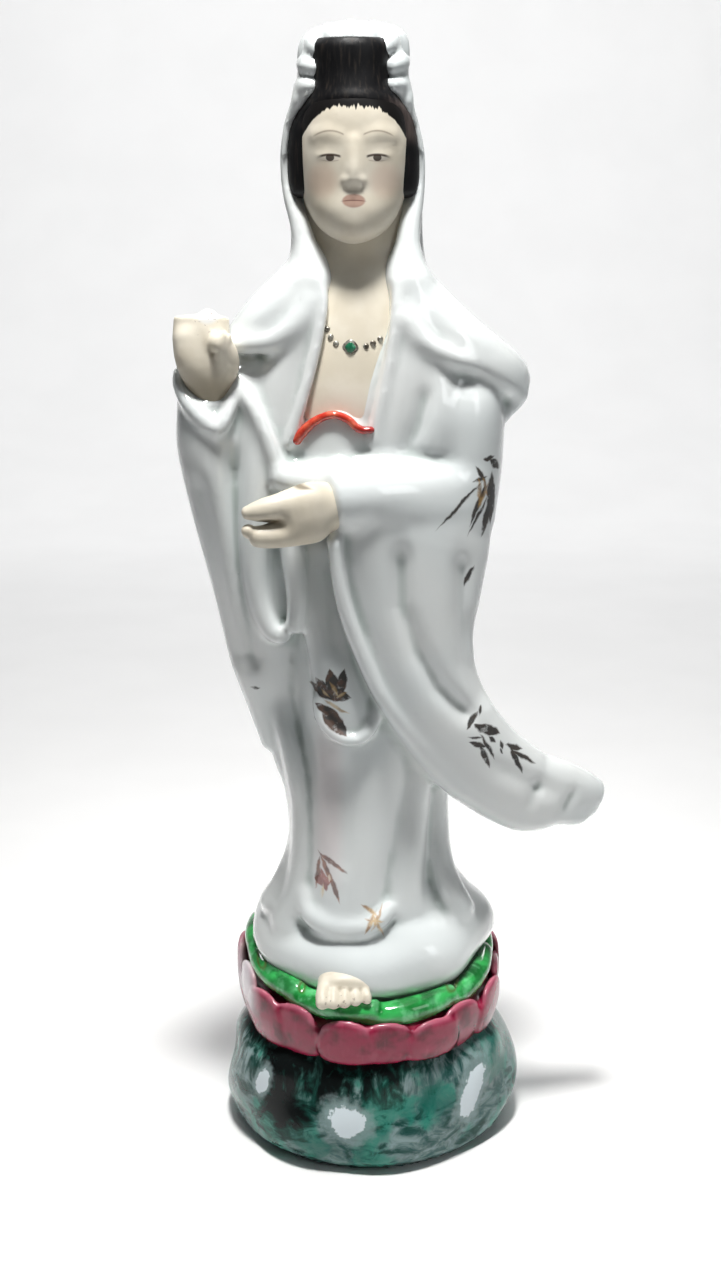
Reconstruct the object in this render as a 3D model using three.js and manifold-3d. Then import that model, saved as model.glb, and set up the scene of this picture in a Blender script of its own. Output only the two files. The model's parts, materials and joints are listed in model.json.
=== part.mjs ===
// A porcelain Guanyin standing on a lotus and a rock, built up wet and fired as one piece.
// Millimetres, +Z up. The figure faces -Y, and the origin is the middle of the flat underside.
import * as THREE from "three";
import Module from "manifold-3d";

// Rock
const rockWidth = 65; // at its foot
const rockDepth = 63.2;
const rockHeight = 31;
const rockSwell = 4.8; // how far it bulges past its foot
const rockLumps = 0.9; // height of its lumps and dents

// Lotus
const lotusHeight = 9; // from the top of the rock to the floor that the feet stand on
const petalCount = 18;
const petalLength = 17.2;
const petalDip = 5.2; // how much shorter the petals are in front
const petalThickness = 3.2;
const petalLean = 2.4; // how far a tip leans out past the petal's foot
const leafCount = 9;
const leafWidth = 6.8;
const leafThickness = 6.4;
const leafLift = 3.4; // how far the leaves rise up the hem at the sides
const leafDip = 5.8; // how much lower than that they lie in front
const lotusTilt = 1.4; // how much lower petals and leaves lie at the +X side

// Figure, up from that floor. Its tables are drawn for a height of 230 and scaled to this one.
const figureHeight = 230;
const hemRadius = 31; // of the robe where it spreads on the lotus

const figureScale = figureHeight / 230;
const standHeight = rockHeight + lotusHeight;
const leafRadius = hemRadius - 2.4; // to the middle of the rolled leaves
const petalRadius = leafRadius + leafWidth / 2 - 0.5;
const rockTopRadius = petalRadius - 3.5;

const wasm = await Module();
wasm.setup();

const { lerp, clamp, degToRad } = THREE.MathUtils;
const turn = 2 * Math.PI;
const reach = 6; // a shape has no say in a point that is this far out of its box

// Smooth curves through the rows of a table [place, value, value, ...]
function through(rows) {
  const last = rows.length - 1;
  const slopes = rows.map((row, i) => {
    const before = rows[Math.max(i - 1, 0)];
    const after = rows[Math.min(i + 1, last)];
    return row.map((_, k) => (after[k] - before[k]) / (after[0] - before[0]));
  });
  return (place) => {
    let i = 0;
    while (i < last - 1 && place > rows[i + 1][0]) i += 1;
    const span = rows[i + 1][0] - rows[i][0];
    const t = clamp((place - rows[i][0]) / span, 0, 1);
    const rise = t * t * (3 - 2 * t);
    return rows[i].map(
      (value, k) =>
        lerp(value, rows[i + 1][k], rise) +
        span * (t * (1 - t) * (1 - t) * slopes[i][k] - t * t * (1 - t) * slopes[i + 1][k]),
    );
  };
}

// How far (u, v, w) is outside an oval with these half sizes. Negative inside.
function ovalGap(u, v, w, wide, deep, long) {
  const a = u / wide;
  const b = v / deep;
  const c = w / long;
  const size = Math.sqrt(a * a + b * b + c * c);
  const slope = Math.sqrt((a / wide) ** 2 + (b / deep) ** 2 + (c / long) ** 2);
  return slope > 1e-6 ? ((size - 1) * size) / slope : -Math.min(wide, deep);
}

// How far a point (x, z) is from a line of points [x, z]
function away(x, z, line) {
  let nearest = Infinity;
  for (let i = 1; i < line.length; i += 1) {
    const [ax, az] = line[i - 1];
    const dx = line[i][0] - ax;
    const dz = line[i][1] - az;
    const t = clamp(((x - ax) * dx + (z - az) * dz) / (dx * dx + dz * dz), 0, 1);
    nearest = Math.min(nearest, (x - ax - t * dx) ** 2 + (z - az - t * dz) ** 2);
  }
  return Math.sqrt(nearest);
}

// How deep the folds press in at (x, z). A fold is { line, width, depth }.
function press(folds, x, z) {
  return folds.reduce(
    (sum, { line, width, depth }) => sum + depth * Math.exp(-((away(x, z, line) / width) ** 2)),
    0,
  );
}

// A shape is { low, high, blend, gap }: the corners of its box, how softly it joins the shapes
// before it, and gap(x, y, z), the distance to its surface, negative inside.

// Level ovals stacked up. Rows: [height, middle x, middle y, half width, front, back].
// Folds press into its front and backFolds into its back. Wave(angle, height) swells it.
function column(rows, { blend = 2.5, folds = [], backFolds = [], wave } = {}) {
  const at = through(rows);
  const bottom = rows[0][0];
  const top = rows.at(-1)[0];
  const step = 0.5;
  const levels = [];
  for (let z = bottom; z < top + step; z += step) levels.push(at(Math.min(z, top)));
  const widest = Math.max(...rows.map(([, x, y, ...sizes]) => Math.max(...sizes) + Math.hypot(x, y)));
  return {
    low: [-widest, -widest, bottom],
    high: [widest, widest, top],
    blend,
    gap(x, y, z) {
      const place = clamp((z - bottom) / step, 0, levels.length - 1.001);
      const i = Math.floor(place);
      const t = place - i;
      const [, x0, y0, side0, front0, back0] = levels[i];
      const [, x1, y1, side1, front1, back1] = levels[i + 1];
      const u = x - lerp(x0, x1, t);
      const v = y - lerp(y0, y1, t);
      const deep = v < 0 ? lerp(front0, front1, t) : lerp(back0, back1, t);
      let gap = ovalGap(u, v, 0, lerp(side0, side1, t), deep, 1);
      if (Math.abs(gap) < reach) {
        const facing = clamp((-v / deep) * 2, -1, 1);
        if (facing > 0 && folds.length) gap += facing * press(folds, x, z);
        if (facing < 0 && backFolds.length) gap -= facing * press(backFolds, x, z);
        if (wave) gap -= wave(Math.atan2(v, u), z);
      }
      return Math.max(gap, z - top, bottom - z);
    },
  };
}

// A rounded roll through stops [x, y, z, half width, half depth, swing]. Its depth faces the
// front, swing turns the section about the path in degrees, and each end is a round of this size.
function roll(
  stops,
  { blend = 1.6, startRound = 1, endRound = 1, front = [0, -1, 0], folds = [] } = {},
) {
  let length = 0;
  const rows = stops.map(([x, y, z, wide, deep, swing = 0], i) => {
    if (i) length += new THREE.Vector3(x, y, z).distanceTo(new THREE.Vector3(...stops[i - 1]));
    return [length, x, y, z, wide, deep, swing];
  });
  const at = through(rows);
  const point = (place) => new THREE.Vector3(...at(clamp(place, 0, length)).slice(1, 4));
  const from = Math.min(startRound, length * 0.45);
  const to = length - Math.min(endRound, length * 0.45);
  const count = Math.max(2, Math.ceil((to - from) / 2)) + 1;
  const spacing = (to - from) / (count - 1);
  const beads = Array.from({ length: count }, (_, i) => {
    const place = from + i * spacing;
    const [, x, y, z, wide, deep, swing] = at(place);
    const along = point(place + 0.5).sub(point(place - 0.5)).normalize();
    const ahead = new THREE.Vector3(...front);
    ahead.addScaledVector(along, -ahead.dot(along)).normalize();
    ahead.applyAxisAngle(along, degToRad(swing));
    const aside = ahead.clone().cross(along);
    return { x, y, z, wide, deep, along, ahead, aside };
  });
  const outer = Math.max(...stops.map(([, , , wide, deep]) => Math.max(wide, deep)));
  const corner = (pick, sign) =>
    ["x", "y", "z"].map((axis) => pick(...beads.map((bead) => bead[axis])) + sign * outer);
  return {
    low: corner(Math.min, -1),
    high: corner(Math.max, 1),
    blend,
    gap(x, y, z) {
      let nearest = 0;
      let least = Infinity;
      for (let i = 0; i < count; i += 1) {
        const bead = beads[i];
        const square = (x - bead.x) ** 2 + (y - bead.y) ** 2 + (z - bead.z) ** 2;
        if (square < least) {
          least = square;
          nearest = i;
        }
      }
      const a = beads[nearest];
      const offset = (x - a.x) * a.along.x + (y - a.y) * a.along.y + (z - a.z) * a.along.z;
      const b = beads[clamp(nearest + Math.sign(offset), 0, count - 1)];
      const t = Math.min(Math.abs(offset) / spacing, 1);
      const px = x - lerp(a.x, b.x, t);
      const py = y - lerp(a.y, b.y, t);
      const pz = z - lerp(a.z, b.z, t);
      const dot = (way) =>
        px * lerp(a[way].x, b[way].x, t) +
        py * lerp(a[way].y, b[way].y, t) +
        pz * lerp(a[way].z, b[way].z, t);
      const v = dot("ahead");
      const deep = lerp(a.deep, b.deep, t);
      const past = a === b ? offset : 0;
      const round = past < 0 ? startRound : endRound;
      let gap = ovalGap(dot("aside"), v, past, lerp(a.wide, b.wide, t), deep, round);
      if (folds.length && Math.abs(gap) < reach) {
        gap += clamp((v / deep) * 2, 0, 1) * press(folds, x, z);
      }
      return gap;
    },
  };
}

// A round limb through stops [x, y, z, radius]
function limb(stops, options) {
  return roll(
    stops.map(([x, y, z, radius]) => [x, y, z, radius, radius]),
    { blend: 1, startRound: stops[0][3], endRound: stops.at(-1)[3], ...options },
  );
}

// One solid from shapes that melt into each other, in facets as fine as grain
function cast(shapes, grain) {
  const corner = (pick, side, sign) =>
    [0, 1, 2].map((k) => pick(...shapes.map((shape) => shape[side][k])) + sign * reach * 0.5);
  const inside = ([x, y, z]) => {
    let gap = reach;
    for (const { low, high, blend, gap: gapOf } of shapes) {
      const near =
        x > low[0] - reach && x < high[0] + reach &&
        y > low[1] - reach && y < high[1] + reach &&
        z > low[2] - reach && z < high[2] + reach;
      if (near) {
        const other = gapOf(x, y, z);
        const melt = Math.max(blend - Math.abs(gap - other), 0) / blend;
        gap = Math.min(gap, other) - (melt * melt * blend) / 4;
      }
    }
    return -gap;
  };
  const bounds = { min: corner(Math.min, "low", -1), max: corner(Math.max, "high", 1) };
  return softened(wasm.Manifold.levelSet(inside, bounds, grain), 4);
}

// Smooths the creases as glaze does. Each pass draws every corner to the middle of its
// neighbours, then a little back out, so that the body keeps its size.
function softened(solid, passes) {
  const { numProp, vertProperties: corners, triVerts } = solid.getMesh();
  const count = corners.length / 3;
  for (let pass = 0; pass < passes * 2; pass += 1) {
    const pull = pass % 2 ? -0.34 : 0.33;
    const sums = new Float64Array(corners.length);
    const shares = new Uint16Array(count);
    for (let i = 0; i < triVerts.length; i += 1) {
      const next = triVerts[i % 3 === 2 ? i - 2 : i + 1];
      shares[triVerts[i]] += 1;
      for (let k = 0; k < 3; k += 1) sums[triVerts[i] * 3 + k] += corners[next * 3 + k];
    }
    for (let i = 0; i < corners.length; i += 1) {
      corners[i] += pull * (sums[i] / shares[Math.floor(i / 3)] - corners[i]);
    }
  }
  return new wasm.Manifold(new wasm.Mesh({ numProp, vertProperties: corners, triVerts }));
}

// Rock and lotus

function rock() {
  const row = (height, out, outDeep) => {
    const deep = rockDepth / 2 + outDeep;
    return [height, 0, 0, rockWidth / 2 + out, deep, deep];
  };
  const rows = [
    row(-3, -2, -2), // cut off flat at the underside
    row(0, 0, 0),
    row(rockHeight * 0.1, rockSwell * 0.72, rockSwell * 0.6),
    row(rockHeight * 0.34, rockSwell, rockSwell * 0.8),
    row(rockHeight * 0.62, rockSwell * 0.66, rockSwell * 0.5),
    row(rockHeight * 0.8, rockSwell * 0.2, rockSwell * 0.2),
    [rockHeight, 0, 0, rockTopRadius, rockTopRadius, rockTopRadius],
    [rockHeight + 2, 0, 0, rockTopRadius - 2, rockTopRadius - 2, rockTopRadius - 2],
  ];
  const lumps = (angle, z) =>
    rockLumps *
    clamp(z / (rockHeight * 0.15), 0, 1) *
    (Math.sin(3 * angle + 0.12 * z) + Math.sin(7 * angle - 0.3 * z) * 0.6);
  return column(rows, { wave: lumps });
}

function lotusCup() {
  const foot = rockTopRadius - 1;
  const inner = leafRadius - 2;
  const rows = [
    [rockHeight - 4, 0, 0, foot, foot, foot],
    [rockHeight, 0, 0, petalRadius - 0.9, petalRadius - 0.9, petalRadius - 0.9],
    [rockHeight + lotusHeight * 0.45, 0, 0, petalRadius + 0.5, petalRadius + 0.5, petalRadius],
    [rockHeight + lotusHeight * 0.73, 0, 0, petalRadius + 0.2, petalRadius + 0.2, petalRadius],
    [standHeight, 0, 0, inner, inner, leafRadius],
  ];
  return column(rows);
}

// A point on the ring of this radius. Angle 0 is the front.
function ringPoint(radius, angle, z) {
  return [radius * Math.sin(angle), -radius * Math.cos(angle), z];
}

// How much lower the lotus lies at this angle: it dips in front and leans to one side
function lowered(dip, angle) {
  return dip * Math.max(Math.cos(angle), -0.25) + lotusTilt * Math.sin(angle);
}

function petals() {
  const halfWidth = ((turn * petalRadius) / petalCount) * 0.66;
  const foot = standHeight + 4.8 - petalLength;
  return Array.from({ length: petalCount }, (_, i) => {
    const angle = (turn * (i + 0.35 + 0.12 * Math.sin(2.3 * i))) / petalCount;
    const over = i % 2 ? 0.5 : -0.3; // every second petal lies over its neighbours
    const length = petalLength - lowered(petalDip, angle) + 0.6 * Math.sin(4.1 * i);
    const stops = [0, 0.25, 0.5, 0.75, 1].map((up) => {
      const out = petalLean * up * up + 1.4 * Math.sin(Math.PI * up) - 1.6;
      const wide = halfWidth * Math.sqrt(1 - 0.7 * up ** 3) * (0.8 + 0.2 * Math.min(1, up * 3));
      const deep = (petalThickness / 2) * (1 - 0.3 * up);
      return [...ringPoint(petalRadius + out + over, angle, foot + length * up), wide, deep];
    });
    return roll(stops, { blend: 1.2, startRound: 2, endRound: 3, front: ringPoint(1, angle, 0) });
  });
}

// The green leaves, rolled round the hem
function leaves() {
  const half = leafThickness / 2;
  const broad = leafWidth / 2;
  return Array.from({ length: leafCount }, (_, i) => {
    const stops = [-0.66, -0.3, 0, 0.3, 0.66].map((share) => {
      const angle = (turn * (i + 0.5 + share)) / leafCount;
      const plump = 1 - 0.35 * Math.abs(share) ** 1.5;
      const middle = standHeight + leafLift + half * (0.9 + 0.4 * share);
      const height = middle - lowered(leafDip, angle);
      return [...ringPoint(leafRadius + 0.4 * share, angle, height), broad * plump, half * plump];
    });
    return roll(stops, { blend: 0.5, startRound: 2, endRound: 2, front: [0, 0, 1] });
  });
}

// Robe

const backFolds = [
  { line: [[-17, 154], [-14, 110], [-15, 56]], width: 3.2, depth: 2 },
  { line: [[-6, 162], [-4, 110], [-5, 40]], width: 3, depth: 2.2 },
  { line: [[7, 162], [5, 110], [7, 36]], width: 3, depth: 2.2 },
  { line: [[19, 154], [15, 110], [16, 50]], width: 3.2, depth: 2 },
];

function robeBody() {
  const spread = hemRadius / figureScale;
  const rows = [
    [0, 0.4, 0, spread - 7, 23, 22],
    [2, 0.4, 0, spread - 5.6, 25, 24],
    [5, 0.2, 0, spread - 3.4, 27.6, 26],
    [9, 0.2, 0, spread - 0.8, 27.4, 27.2],
    [13, 0.2, 0, spread - 0.3, 25.6, 26.6],
    [17.5, 0.4, 0.2, spread - 1.9, 22, 25],
    [21.5, 0.4, 0.3, 25.2, 17.8, 22.4],
    [26, 0, 0.5, 22.2, 16.6, 19.8],
    [32, 0.4, 0.5, 19.5, 16.2, 18],
    [40, -0.2, 0.5, 19.2, 16.6, 17.4],
    [52, -1, 0.5, 19.8, 16.8, 17.5],
    [64, -1.8, 0.5, 21.2, 17.2, 18],
    [82, -1.5, 0.5, 22, 17.4, 18.5],
    [102, -0.5, 1, 22.5, 17.4, 18.5],
    [120, 0.5, 1.5, 22.5, 17.4, 18],
    [135, 0.8, 1.5, 22.8, 17.4, 17],
    [148, 0.5, 1.8, 23.5, 17, 16],
    [158, -1, 2, 21, 15, 14],
    [166, -2, 2, 14, 11, 11],
  ];
  const folds = [
    { line: [[-21.4, 84], [-18.2, 70], [-17, 58], [-17.6, 40], [-21, 24]], width: 1.8, depth: 1.6 },
    { line: [[14.4, 66], [14.6, 44], [16, 28], [20, 18]], width: 1.8, depth: 1.6 },
  ];
  // Soft folds where the hem spreads on the lotus
  const hemWaves = (angle, z) =>
    1.1 * Math.exp(-(((z - 12) / 8) ** 2)) * Math.sin(7 * angle + 0.12 * z);
  return column(rows, { folds, backFolds, wave: hemWaves });
}

// The smooth front panel of the skirt, with its rolled lower edge and a fold over the feet
function frontPanel() {
  const panel = [
    [-6.4, -9.8, 100, 11, 9],
    [-4.4, -10, 80, 12, 9.6],
    [-2.4, -10.2, 62, 12.4, 10],
    [-3.4, -10.4, 46, 11.4, 10.2],
    [-4.8, -11.8, 33, 10.2, 10.2],
    [-5.4, -13.8, 24.6, 9.8, 9],
    [-5.6, -14.6, 19, 9.4, 8],
    [-5.6, -15.8, 14, 9, 6.2],
  ];
  const shallow = [{ line: [[-6.6, 66], [-6.4, 30]], width: 2.8, depth: 0.9 }];
  const hemRoll = [
    [-15.8, -15.4, 28, 2, 2.6],
    [-15, -18.8, 22.6, 2.4, 3],
    [-9.6, -21.8, 19.6, 2.4, 3],
    [-3, -22.6, 19.2, 2.3, 3],
    [2, -21.4, 21.4, 2.2, 2.8],
    [6.4, -18.6, 26, 2, 2.4],
  ];
  const footFold = [
    [-21.4, -13, 13, 3.2, 2.8],
    [-13.4, -20.4, 10.6, 3.4, 3],
    [-3, -23.8, 9.4, 3.8, 3.4],
    [8, -21, 10.6, 3.4, 3.2],
    [17, -15, 13, 3, 2.8],
  ];
  return [
    roll(panel, { startRound: 9, endRound: 3, folds: shallow }),
    roll(hemRoll, { blend: 2.4, startRound: 2, endRound: 2, front: [0, -1, 0.4] }),
    roll(footFold, { blend: 4, startRound: 3, endRound: 3, front: [0, -1, 0.6] }),
  ];
}

// Upright folds of the skirt either side of the front panel
function skirtPleats() {
  const pleats = [
    [
      [12, -10, 72, 3.6, 4.6],
      [11.2, -10.2, 54, 3.8, 4.6],
      [9.6, -11.2, 40, 4.2, 4.6],
      [8, -13.4, 28, 4.8, 4.4],
      [8, -15.4, 19, 5.4, 3.2],
    ],
    [
      [16.8, -4.8, 62, 3, 4],
      [16.6, -5.6, 44, 2.8, 4],
      [18, -7.8, 30, 3.2, 4.2],
      [23, -10.4, 17, 4.4, 3.4],
    ],
    [
      [-22.4, -5.4, 73, 2.6, 4.8],
      [-18.8, -9, 60, 2.8, 5.2],
      [-16.8, -9.8, 45, 2.5, 5.2],
      [-17.6, -12.6, 28, 3, 4.2],
      [-21.4, -14.6, 15, 4, 3],
    ],
    [
      [-22, -3.6, 66, 3, 4],
      [-21, -4.2, 58, 2.8, 4.4],
      [-18.4, -5, 50, 2.4, 4.2],
      [-17.6, -5.6, 38, 2.4, 4],
      [-20.6, -7.6, 27, 3.2, 4],
      [-24.8, -9.6, 18, 4.6, 4],
    ],
  ];
  return pleats.map((stops) => roll(stops, { blend: 3, startRound: 3, endRound: 3 }));
}

// The veil runs from the top of the head down over the shoulders and the back
function veil() {
  const rows = [
    [86, -1, 4, 12, 4, 15],
    [92, -1, 4, 16, 4, 17.4],
    [100, -0.7, 4, 19, 6, 18.4],
    [110, -0.4, 4, 21.4, 7, 19],
    [125, 0.2, 4, 24.6, 8, 19.2],
    [140, 0.5, 4, 27.6, 10, 18.5],
    [149, 0.8, 4, 29.6, 12, 17],
    [158, 0, 3.5, 26.5, 12.5, 15.5],
    [165, -1.5, 3, 21.5, 11, 14],
    [172, -2.8, 2.5, 17, 8, 13.8],
    [178, -3, 2, 15.7, 6.8, 14.5],
    [184, -3.2, 2, 15.3, 6, 15.2],
    [192, -3.8, 2, 15.9, 5.5, 16.2],
    [200, -4.1, 2, 16.3, 5, 16.6],
    [206, -4.3, 2, 15.4, 4.4, 15.8],
    [212, -4.3, 1.6, 13.6, 4, 13.6],
    [218, -4, 1.3, 12.7, 4, 11.8],
    [224, -3.8, 1, 12.6, 4.4, 11],
    [227, -3.4, 1, 11.4, 4.6, 9.6],
    [228.8, -2.9, 1, 8.6, 4, 7],
    [229.6, -2.5, 1, 5, 3, 4],
  ];
  return column(rows, { backFolds });
}

// The gathered rim of the veil that frames the hair knot
function veilRim() {
  const middle = [-4.2, 216];
  const arch = [
    [-15.4, -4.2, 212.4, 1.7, 2.2],
    [-14.4, -4.4, 217, 2, 2.2],
    [-13.4, -4.6, 222.2, 2, 2.2],
    [-9.8, -4.6, 226, 2, 2.2],
    [-4.2, -4.6, 227, 2, 2.2],
    [1.4, -4.6, 226.4, 2, 2.2],
    [5.2, -4.6, 222.6, 2.2, 2.2],
    [6.2, -4.4, 217, 2.4, 2.2],
    [7.4, -4.2, 212.6, 2, 2.2],
  ];
  const lobes = [
    [-16.2, 215.4],
    [-15.6, 220.6],
    [-13.8, 225.4],
    [-9.4, 228.2],
    [-4.4, 229],
    [0.8, 228.6],
    [5.4, 226.2],
    [7.8, 221.2],
    [7.9, 215.8],
  ];
  const left = [
    [-15.4, -4.8, 213.6, 1.6, 2.4],
    [-18.2, -3.6, 208.6, 1, 1.6],
    [-19.5, -2.8, 202, 0.9, 1.6],
    [-19.4, -2.4, 196, 1, 1.6],
    [-18.2, -3, 191, 1.6, 2],
    [-16.4, -4.4, 186.6, 2.2, 2.4],
    [-15, -6, 181.6, 2.7, 2.6],
    [-13.6, -7.4, 176.4, 3.2, 3],
    [-12.4, -9, 171, 3.6, 3.4],
  ];
  const right = [
    [7.2, -4.8, 213.4, 1.8, 2.4],
    [9.6, -3.6, 208.6, 0.9, 1.6],
    [11.3, -2.8, 202, 0.8, 1.6],
    [11.4, -2.4, 196, 1, 1.6],
    [10.4, -3, 191, 1.8, 2],
    [9.2, -4.4, 186.6, 2.4, 2.4],
    [8.4, -6, 181.6, 2.9, 2.6],
    [8.4, -7.4, 176.4, 3.4, 3],
    [8.6, -9, 171, 3.8, 3.4],
  ];
  const pleats = lobes.map(([x, z]) => {
    const inX = lerp(x, middle[0], 0.36);
    const inZ = lerp(z, middle[1], 0.36);
    return [[x, -2, z, 1.6], [(x + inX) / 2, -6.4, (z + inZ) / 2, 2.3], [inX, -8.6, inZ, 1.2]];
  });
  return [
    roll(arch, { blend: 1.8, startRound: 1.6, endRound: 1.6 }),
    ...pleats.map((stops) => limb(stops, { blend: 0.7, front: [0, 0, 1] })),
    ...[left, right].map((stops) => roll(stops, { blend: 2.8, startRound: 1.5, endRound: 3 })),
  ];
}

// The mantle over the shoulders. Its thick hem ends in a hooked tip at the left shoulder.
function cape() {
  const rightShoulder = [
    [5, -3, 178, 4.4, 5.4],
    [12.6, -5, 167.6, 6, 8],
    [20.2, -5.6, 159.4, 6.8, 9.4],
    [26.4, -4.6, 155.4, 6, 8],
    [32.4, -2.4, 151.4, 4.8, 6],
    [35, -1.4, 147.4, 3, 4],
  ];
  const rightHem = [
    [7, -12.6, 166.4, 2, 2.6],
    [12.4, -14, 160.2, 2.2, 2.8],
    [18.6, -13.8, 156.6, 2.2, 2.8],
    [25.2, -11.2, 154.2, 2.2, 2.8],
    [31, -7.6, 150.4, 2.2, 2.8],
    [34.6, -3.8, 147, 2, 2.6],
  ];
  const tip = [[35.6, -2.6, 148, 2, 3], [34, -3, 145, 1.8, 3], [30.6, -3.8, 141.6, 1.4, 2.4]];
  const leftShoulder = [
    [-11.6, -3, 178, 4.4, 5.4],
    [-18, -5.4, 171, 5.4, 7.4],
    [-23.6, -7, 165, 5.8, 8],
    [-28.4, -7.6, 160.8, 4.8, 6.8],
    [-31, -8, 158.6, 3.6, 5],
  ];
  const leftHem = [
    [-12.8, -10.6, 170, 2.2, 2.8],
    [-17, -12.8, 164.4, 2.4, 3],
    [-22.6, -13.6, 160.4, 2.4, 3],
    [-28, -13.2, 159.6, 2.2, 2.8],
    [-32, -11.6, 159.4, 1.8, 2.2],
  ];
  return [
    roll(rightShoulder, { blend: 4, startRound: 4, endRound: 2 }),
    roll(leftShoulder, { blend: 4, startRound: 4, endRound: 2.5 }),
    ...[rightHem, leftHem].map((stops) => roll(stops, { blend: 2.6, startRound: 2, endRound: 1.5 })),
    roll(tip, { blend: 2, startRound: 1.5, endRound: 1.5 }),
  ];
}

// The broad edges of the open robe, either side of the chest
function lapels() {
  const left = [
    [-13.4, -7.6, 175, 3.6, 4.4],
    [-15.4, -10.8, 163, 5, 4],
    [-18, -12, 154, 5.6, 3.8],
    [-19.4, -13, 146, 4.4, 3.6],
    [-20.4, -13.6, 136, 3.4, 3.4],
    [-20.6, -13, 126, 3, 3],
  ];
  const right = [
    [8.4, -7.6, 175, 3.6, 4.4],
    [9.2, -11.2, 163, 5, 4],
    [8.4, -13, 154, 5.6, 3.8],
    [6, -14.2, 144, 5.2, 3.6],
    [3.4, -14.6, 134, 4.6, 3.4],
    [2.6, -14.4, 126, 4.4, 3],
  ];
  const leftEdge = [
    [-12.2, -11, 174, 1.2, 1.4],
    [-10.8, -12.4, 170, 1.2, 1.5],
    [-11.5, -14.2, 163, 1.2, 1.5],
    [-13.5, -15.4, 154, 1.2, 1.5],
    [-16.4, -16.2, 144, 1.2, 1.5],
    [-19, -16.4, 137, 1.1, 1.3],
  ];
  const rightEdge = [
    [6.2, -11, 174, 1.2, 1.4],
    [6, -12.8, 170, 1.2, 1.5],
    [5.4, -14.6, 163, 1.2, 1.5],
    [4, -15.8, 154, 1.2, 1.5],
    [1.9, -16.8, 144, 1.2, 1.5],
    [0.6, -17, 137, 1.1, 1.3],
  ];
  return [
    ...[left, right].map((stops) => roll(stops, { blend: 3.4, startRound: 3, endRound: 4 })),
    ...[leftEdge, rightEdge].map((stops) => roll(stops, { startRound: 1, endRound: 1 })),
  ];
}

// The left arm lies across the waist, and its wide sleeve swings out to a tip
function leftArm() {
  const upperArm = [
    [18, 0.4, 158, 8.4, 10],
    [21.6, -1.4, 151, 9, 10.8],
    [22.2, -3, 144, 9.2, 13],
    [22.2, -4, 136, 9.2, 12.8],
    [21.6, -5, 126, 9, 11.6],
    [20, -6, 114, 8.4, 10],
  ];
  const bosom = [
    [13.4, -7.4, 158, 5, 6],
    [14.6, -9.4, 150, 6, 7],
    [14.4, -10.6, 142, 6.6, 7.4],
    [13, -11, 133, 6.6, 7],
  ];
  const chestCrease = [{ line: [[12.8, 152], [10.6, 142.3], [7.4, 135]], width: 1.8, depth: 1.4 }];
  const foreArm = [
    [23.6, -6, 126.4, 7.4, 8.4],
    [16.6, -10.8, 126.2, 8, 9],
    [8, -15.8, 126, 8.2, 9.2],
    [-1.4, -19.8, 126, 8, 8.8],
    [-7.6, -21.8, 125.4, 7.4, 7.8],
    [-10.2, -22.6, 125, 6.6, 6.8],
  ];
  const sleeveBack = [
    [-4, -17.6, 129, 5.6, 6.4],
    [-11, -18.4, 128.8, 5, 6],
    [-17.6, -17.8, 129.4, 3.8, 4.8],
    [-22.4, -16.8, 130.4, 2.6, 3.6],
  ];
  const hanging = [
    [9.6, -13.4, 128, 18.6, 10, -24],
    [9.8, -14.4, 115, 19.6, 10, -22],
    [10, -15.4, 102, 17, 9.4, -18],
    [10.8, -15.8, 91, 14.2, 9, -15],
    [13.4, -15.4, 80, 12.6, 8.6, -12],
    [18.8, -14, 69, 11.8, 8, -9],
    [27.2, -11.6, 58.6, 11.2, 7.2, -6],
    [38, -8.8, 51, 10.2, 6.2, -3],
    [47.4, -6.6, 49.4, 8, 5.2, 0],
    [54, -5.2, 48.6, 5, 3.8, 0],
    [57.8, -4.6, 47.6, 2.4, 2.4, 0],
  ];
  const folds = [
    { line: [[6.6, 118], [7.4, 101], [10.8, 90], [15.8, 81], [26, 70]], width: 2.4, depth: 2 },
    { line: [[21, 114], [21, 99], [22.4, 86], [29, 73]], width: 2, depth: 1.6 },
    { line: [[27, 62], [38, 54.5], [50, 49]], width: 2.4, depth: 0.9 },
  ];
  const hem = [
    [-8.4, -24.4, 118, 1.8, 3],
    [-6.4, -24.2, 103, 1.9, 3],
    [-2.6, -23, 91, 2, 3],
    [3, -21.8, 78.6, 2, 3],
    [10.6, -19.6, 67.6, 2.2, 3],
    [20, -16.4, 55.6, 2.2, 3],
    [28, -13.4, 49, 2.2, 2.8],
    [35.6, -11, 43.8, 2.3, 2.8],
    [41, -9.4, 42.8, 2, 2.6],
    [45.8, -8, 44, 1.8, 2.4],
    [50.8, -6.6, 42.6, 2, 2.3],
    [55.6, -5.2, 45.4, 1.6, 2],
  ];
  return [
    roll(upperArm, { blend: 2.4, startRound: 5, endRound: 6 }),
    roll(bosom, { blend: 3.4, startRound: 4, endRound: 4, folds: chestCrease }),
    roll(foreArm, { blend: 3, startRound: 5, endRound: 2 }),
    roll(sleeveBack, { blend: 2, startRound: 3, endRound: 2 }),
    roll(hanging, { blend: 3, startRound: 7, endRound: 2, folds }),
    roll(hem, { blend: 2.4, startRound: 2, endRound: 2 }),
  ];
}

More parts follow.
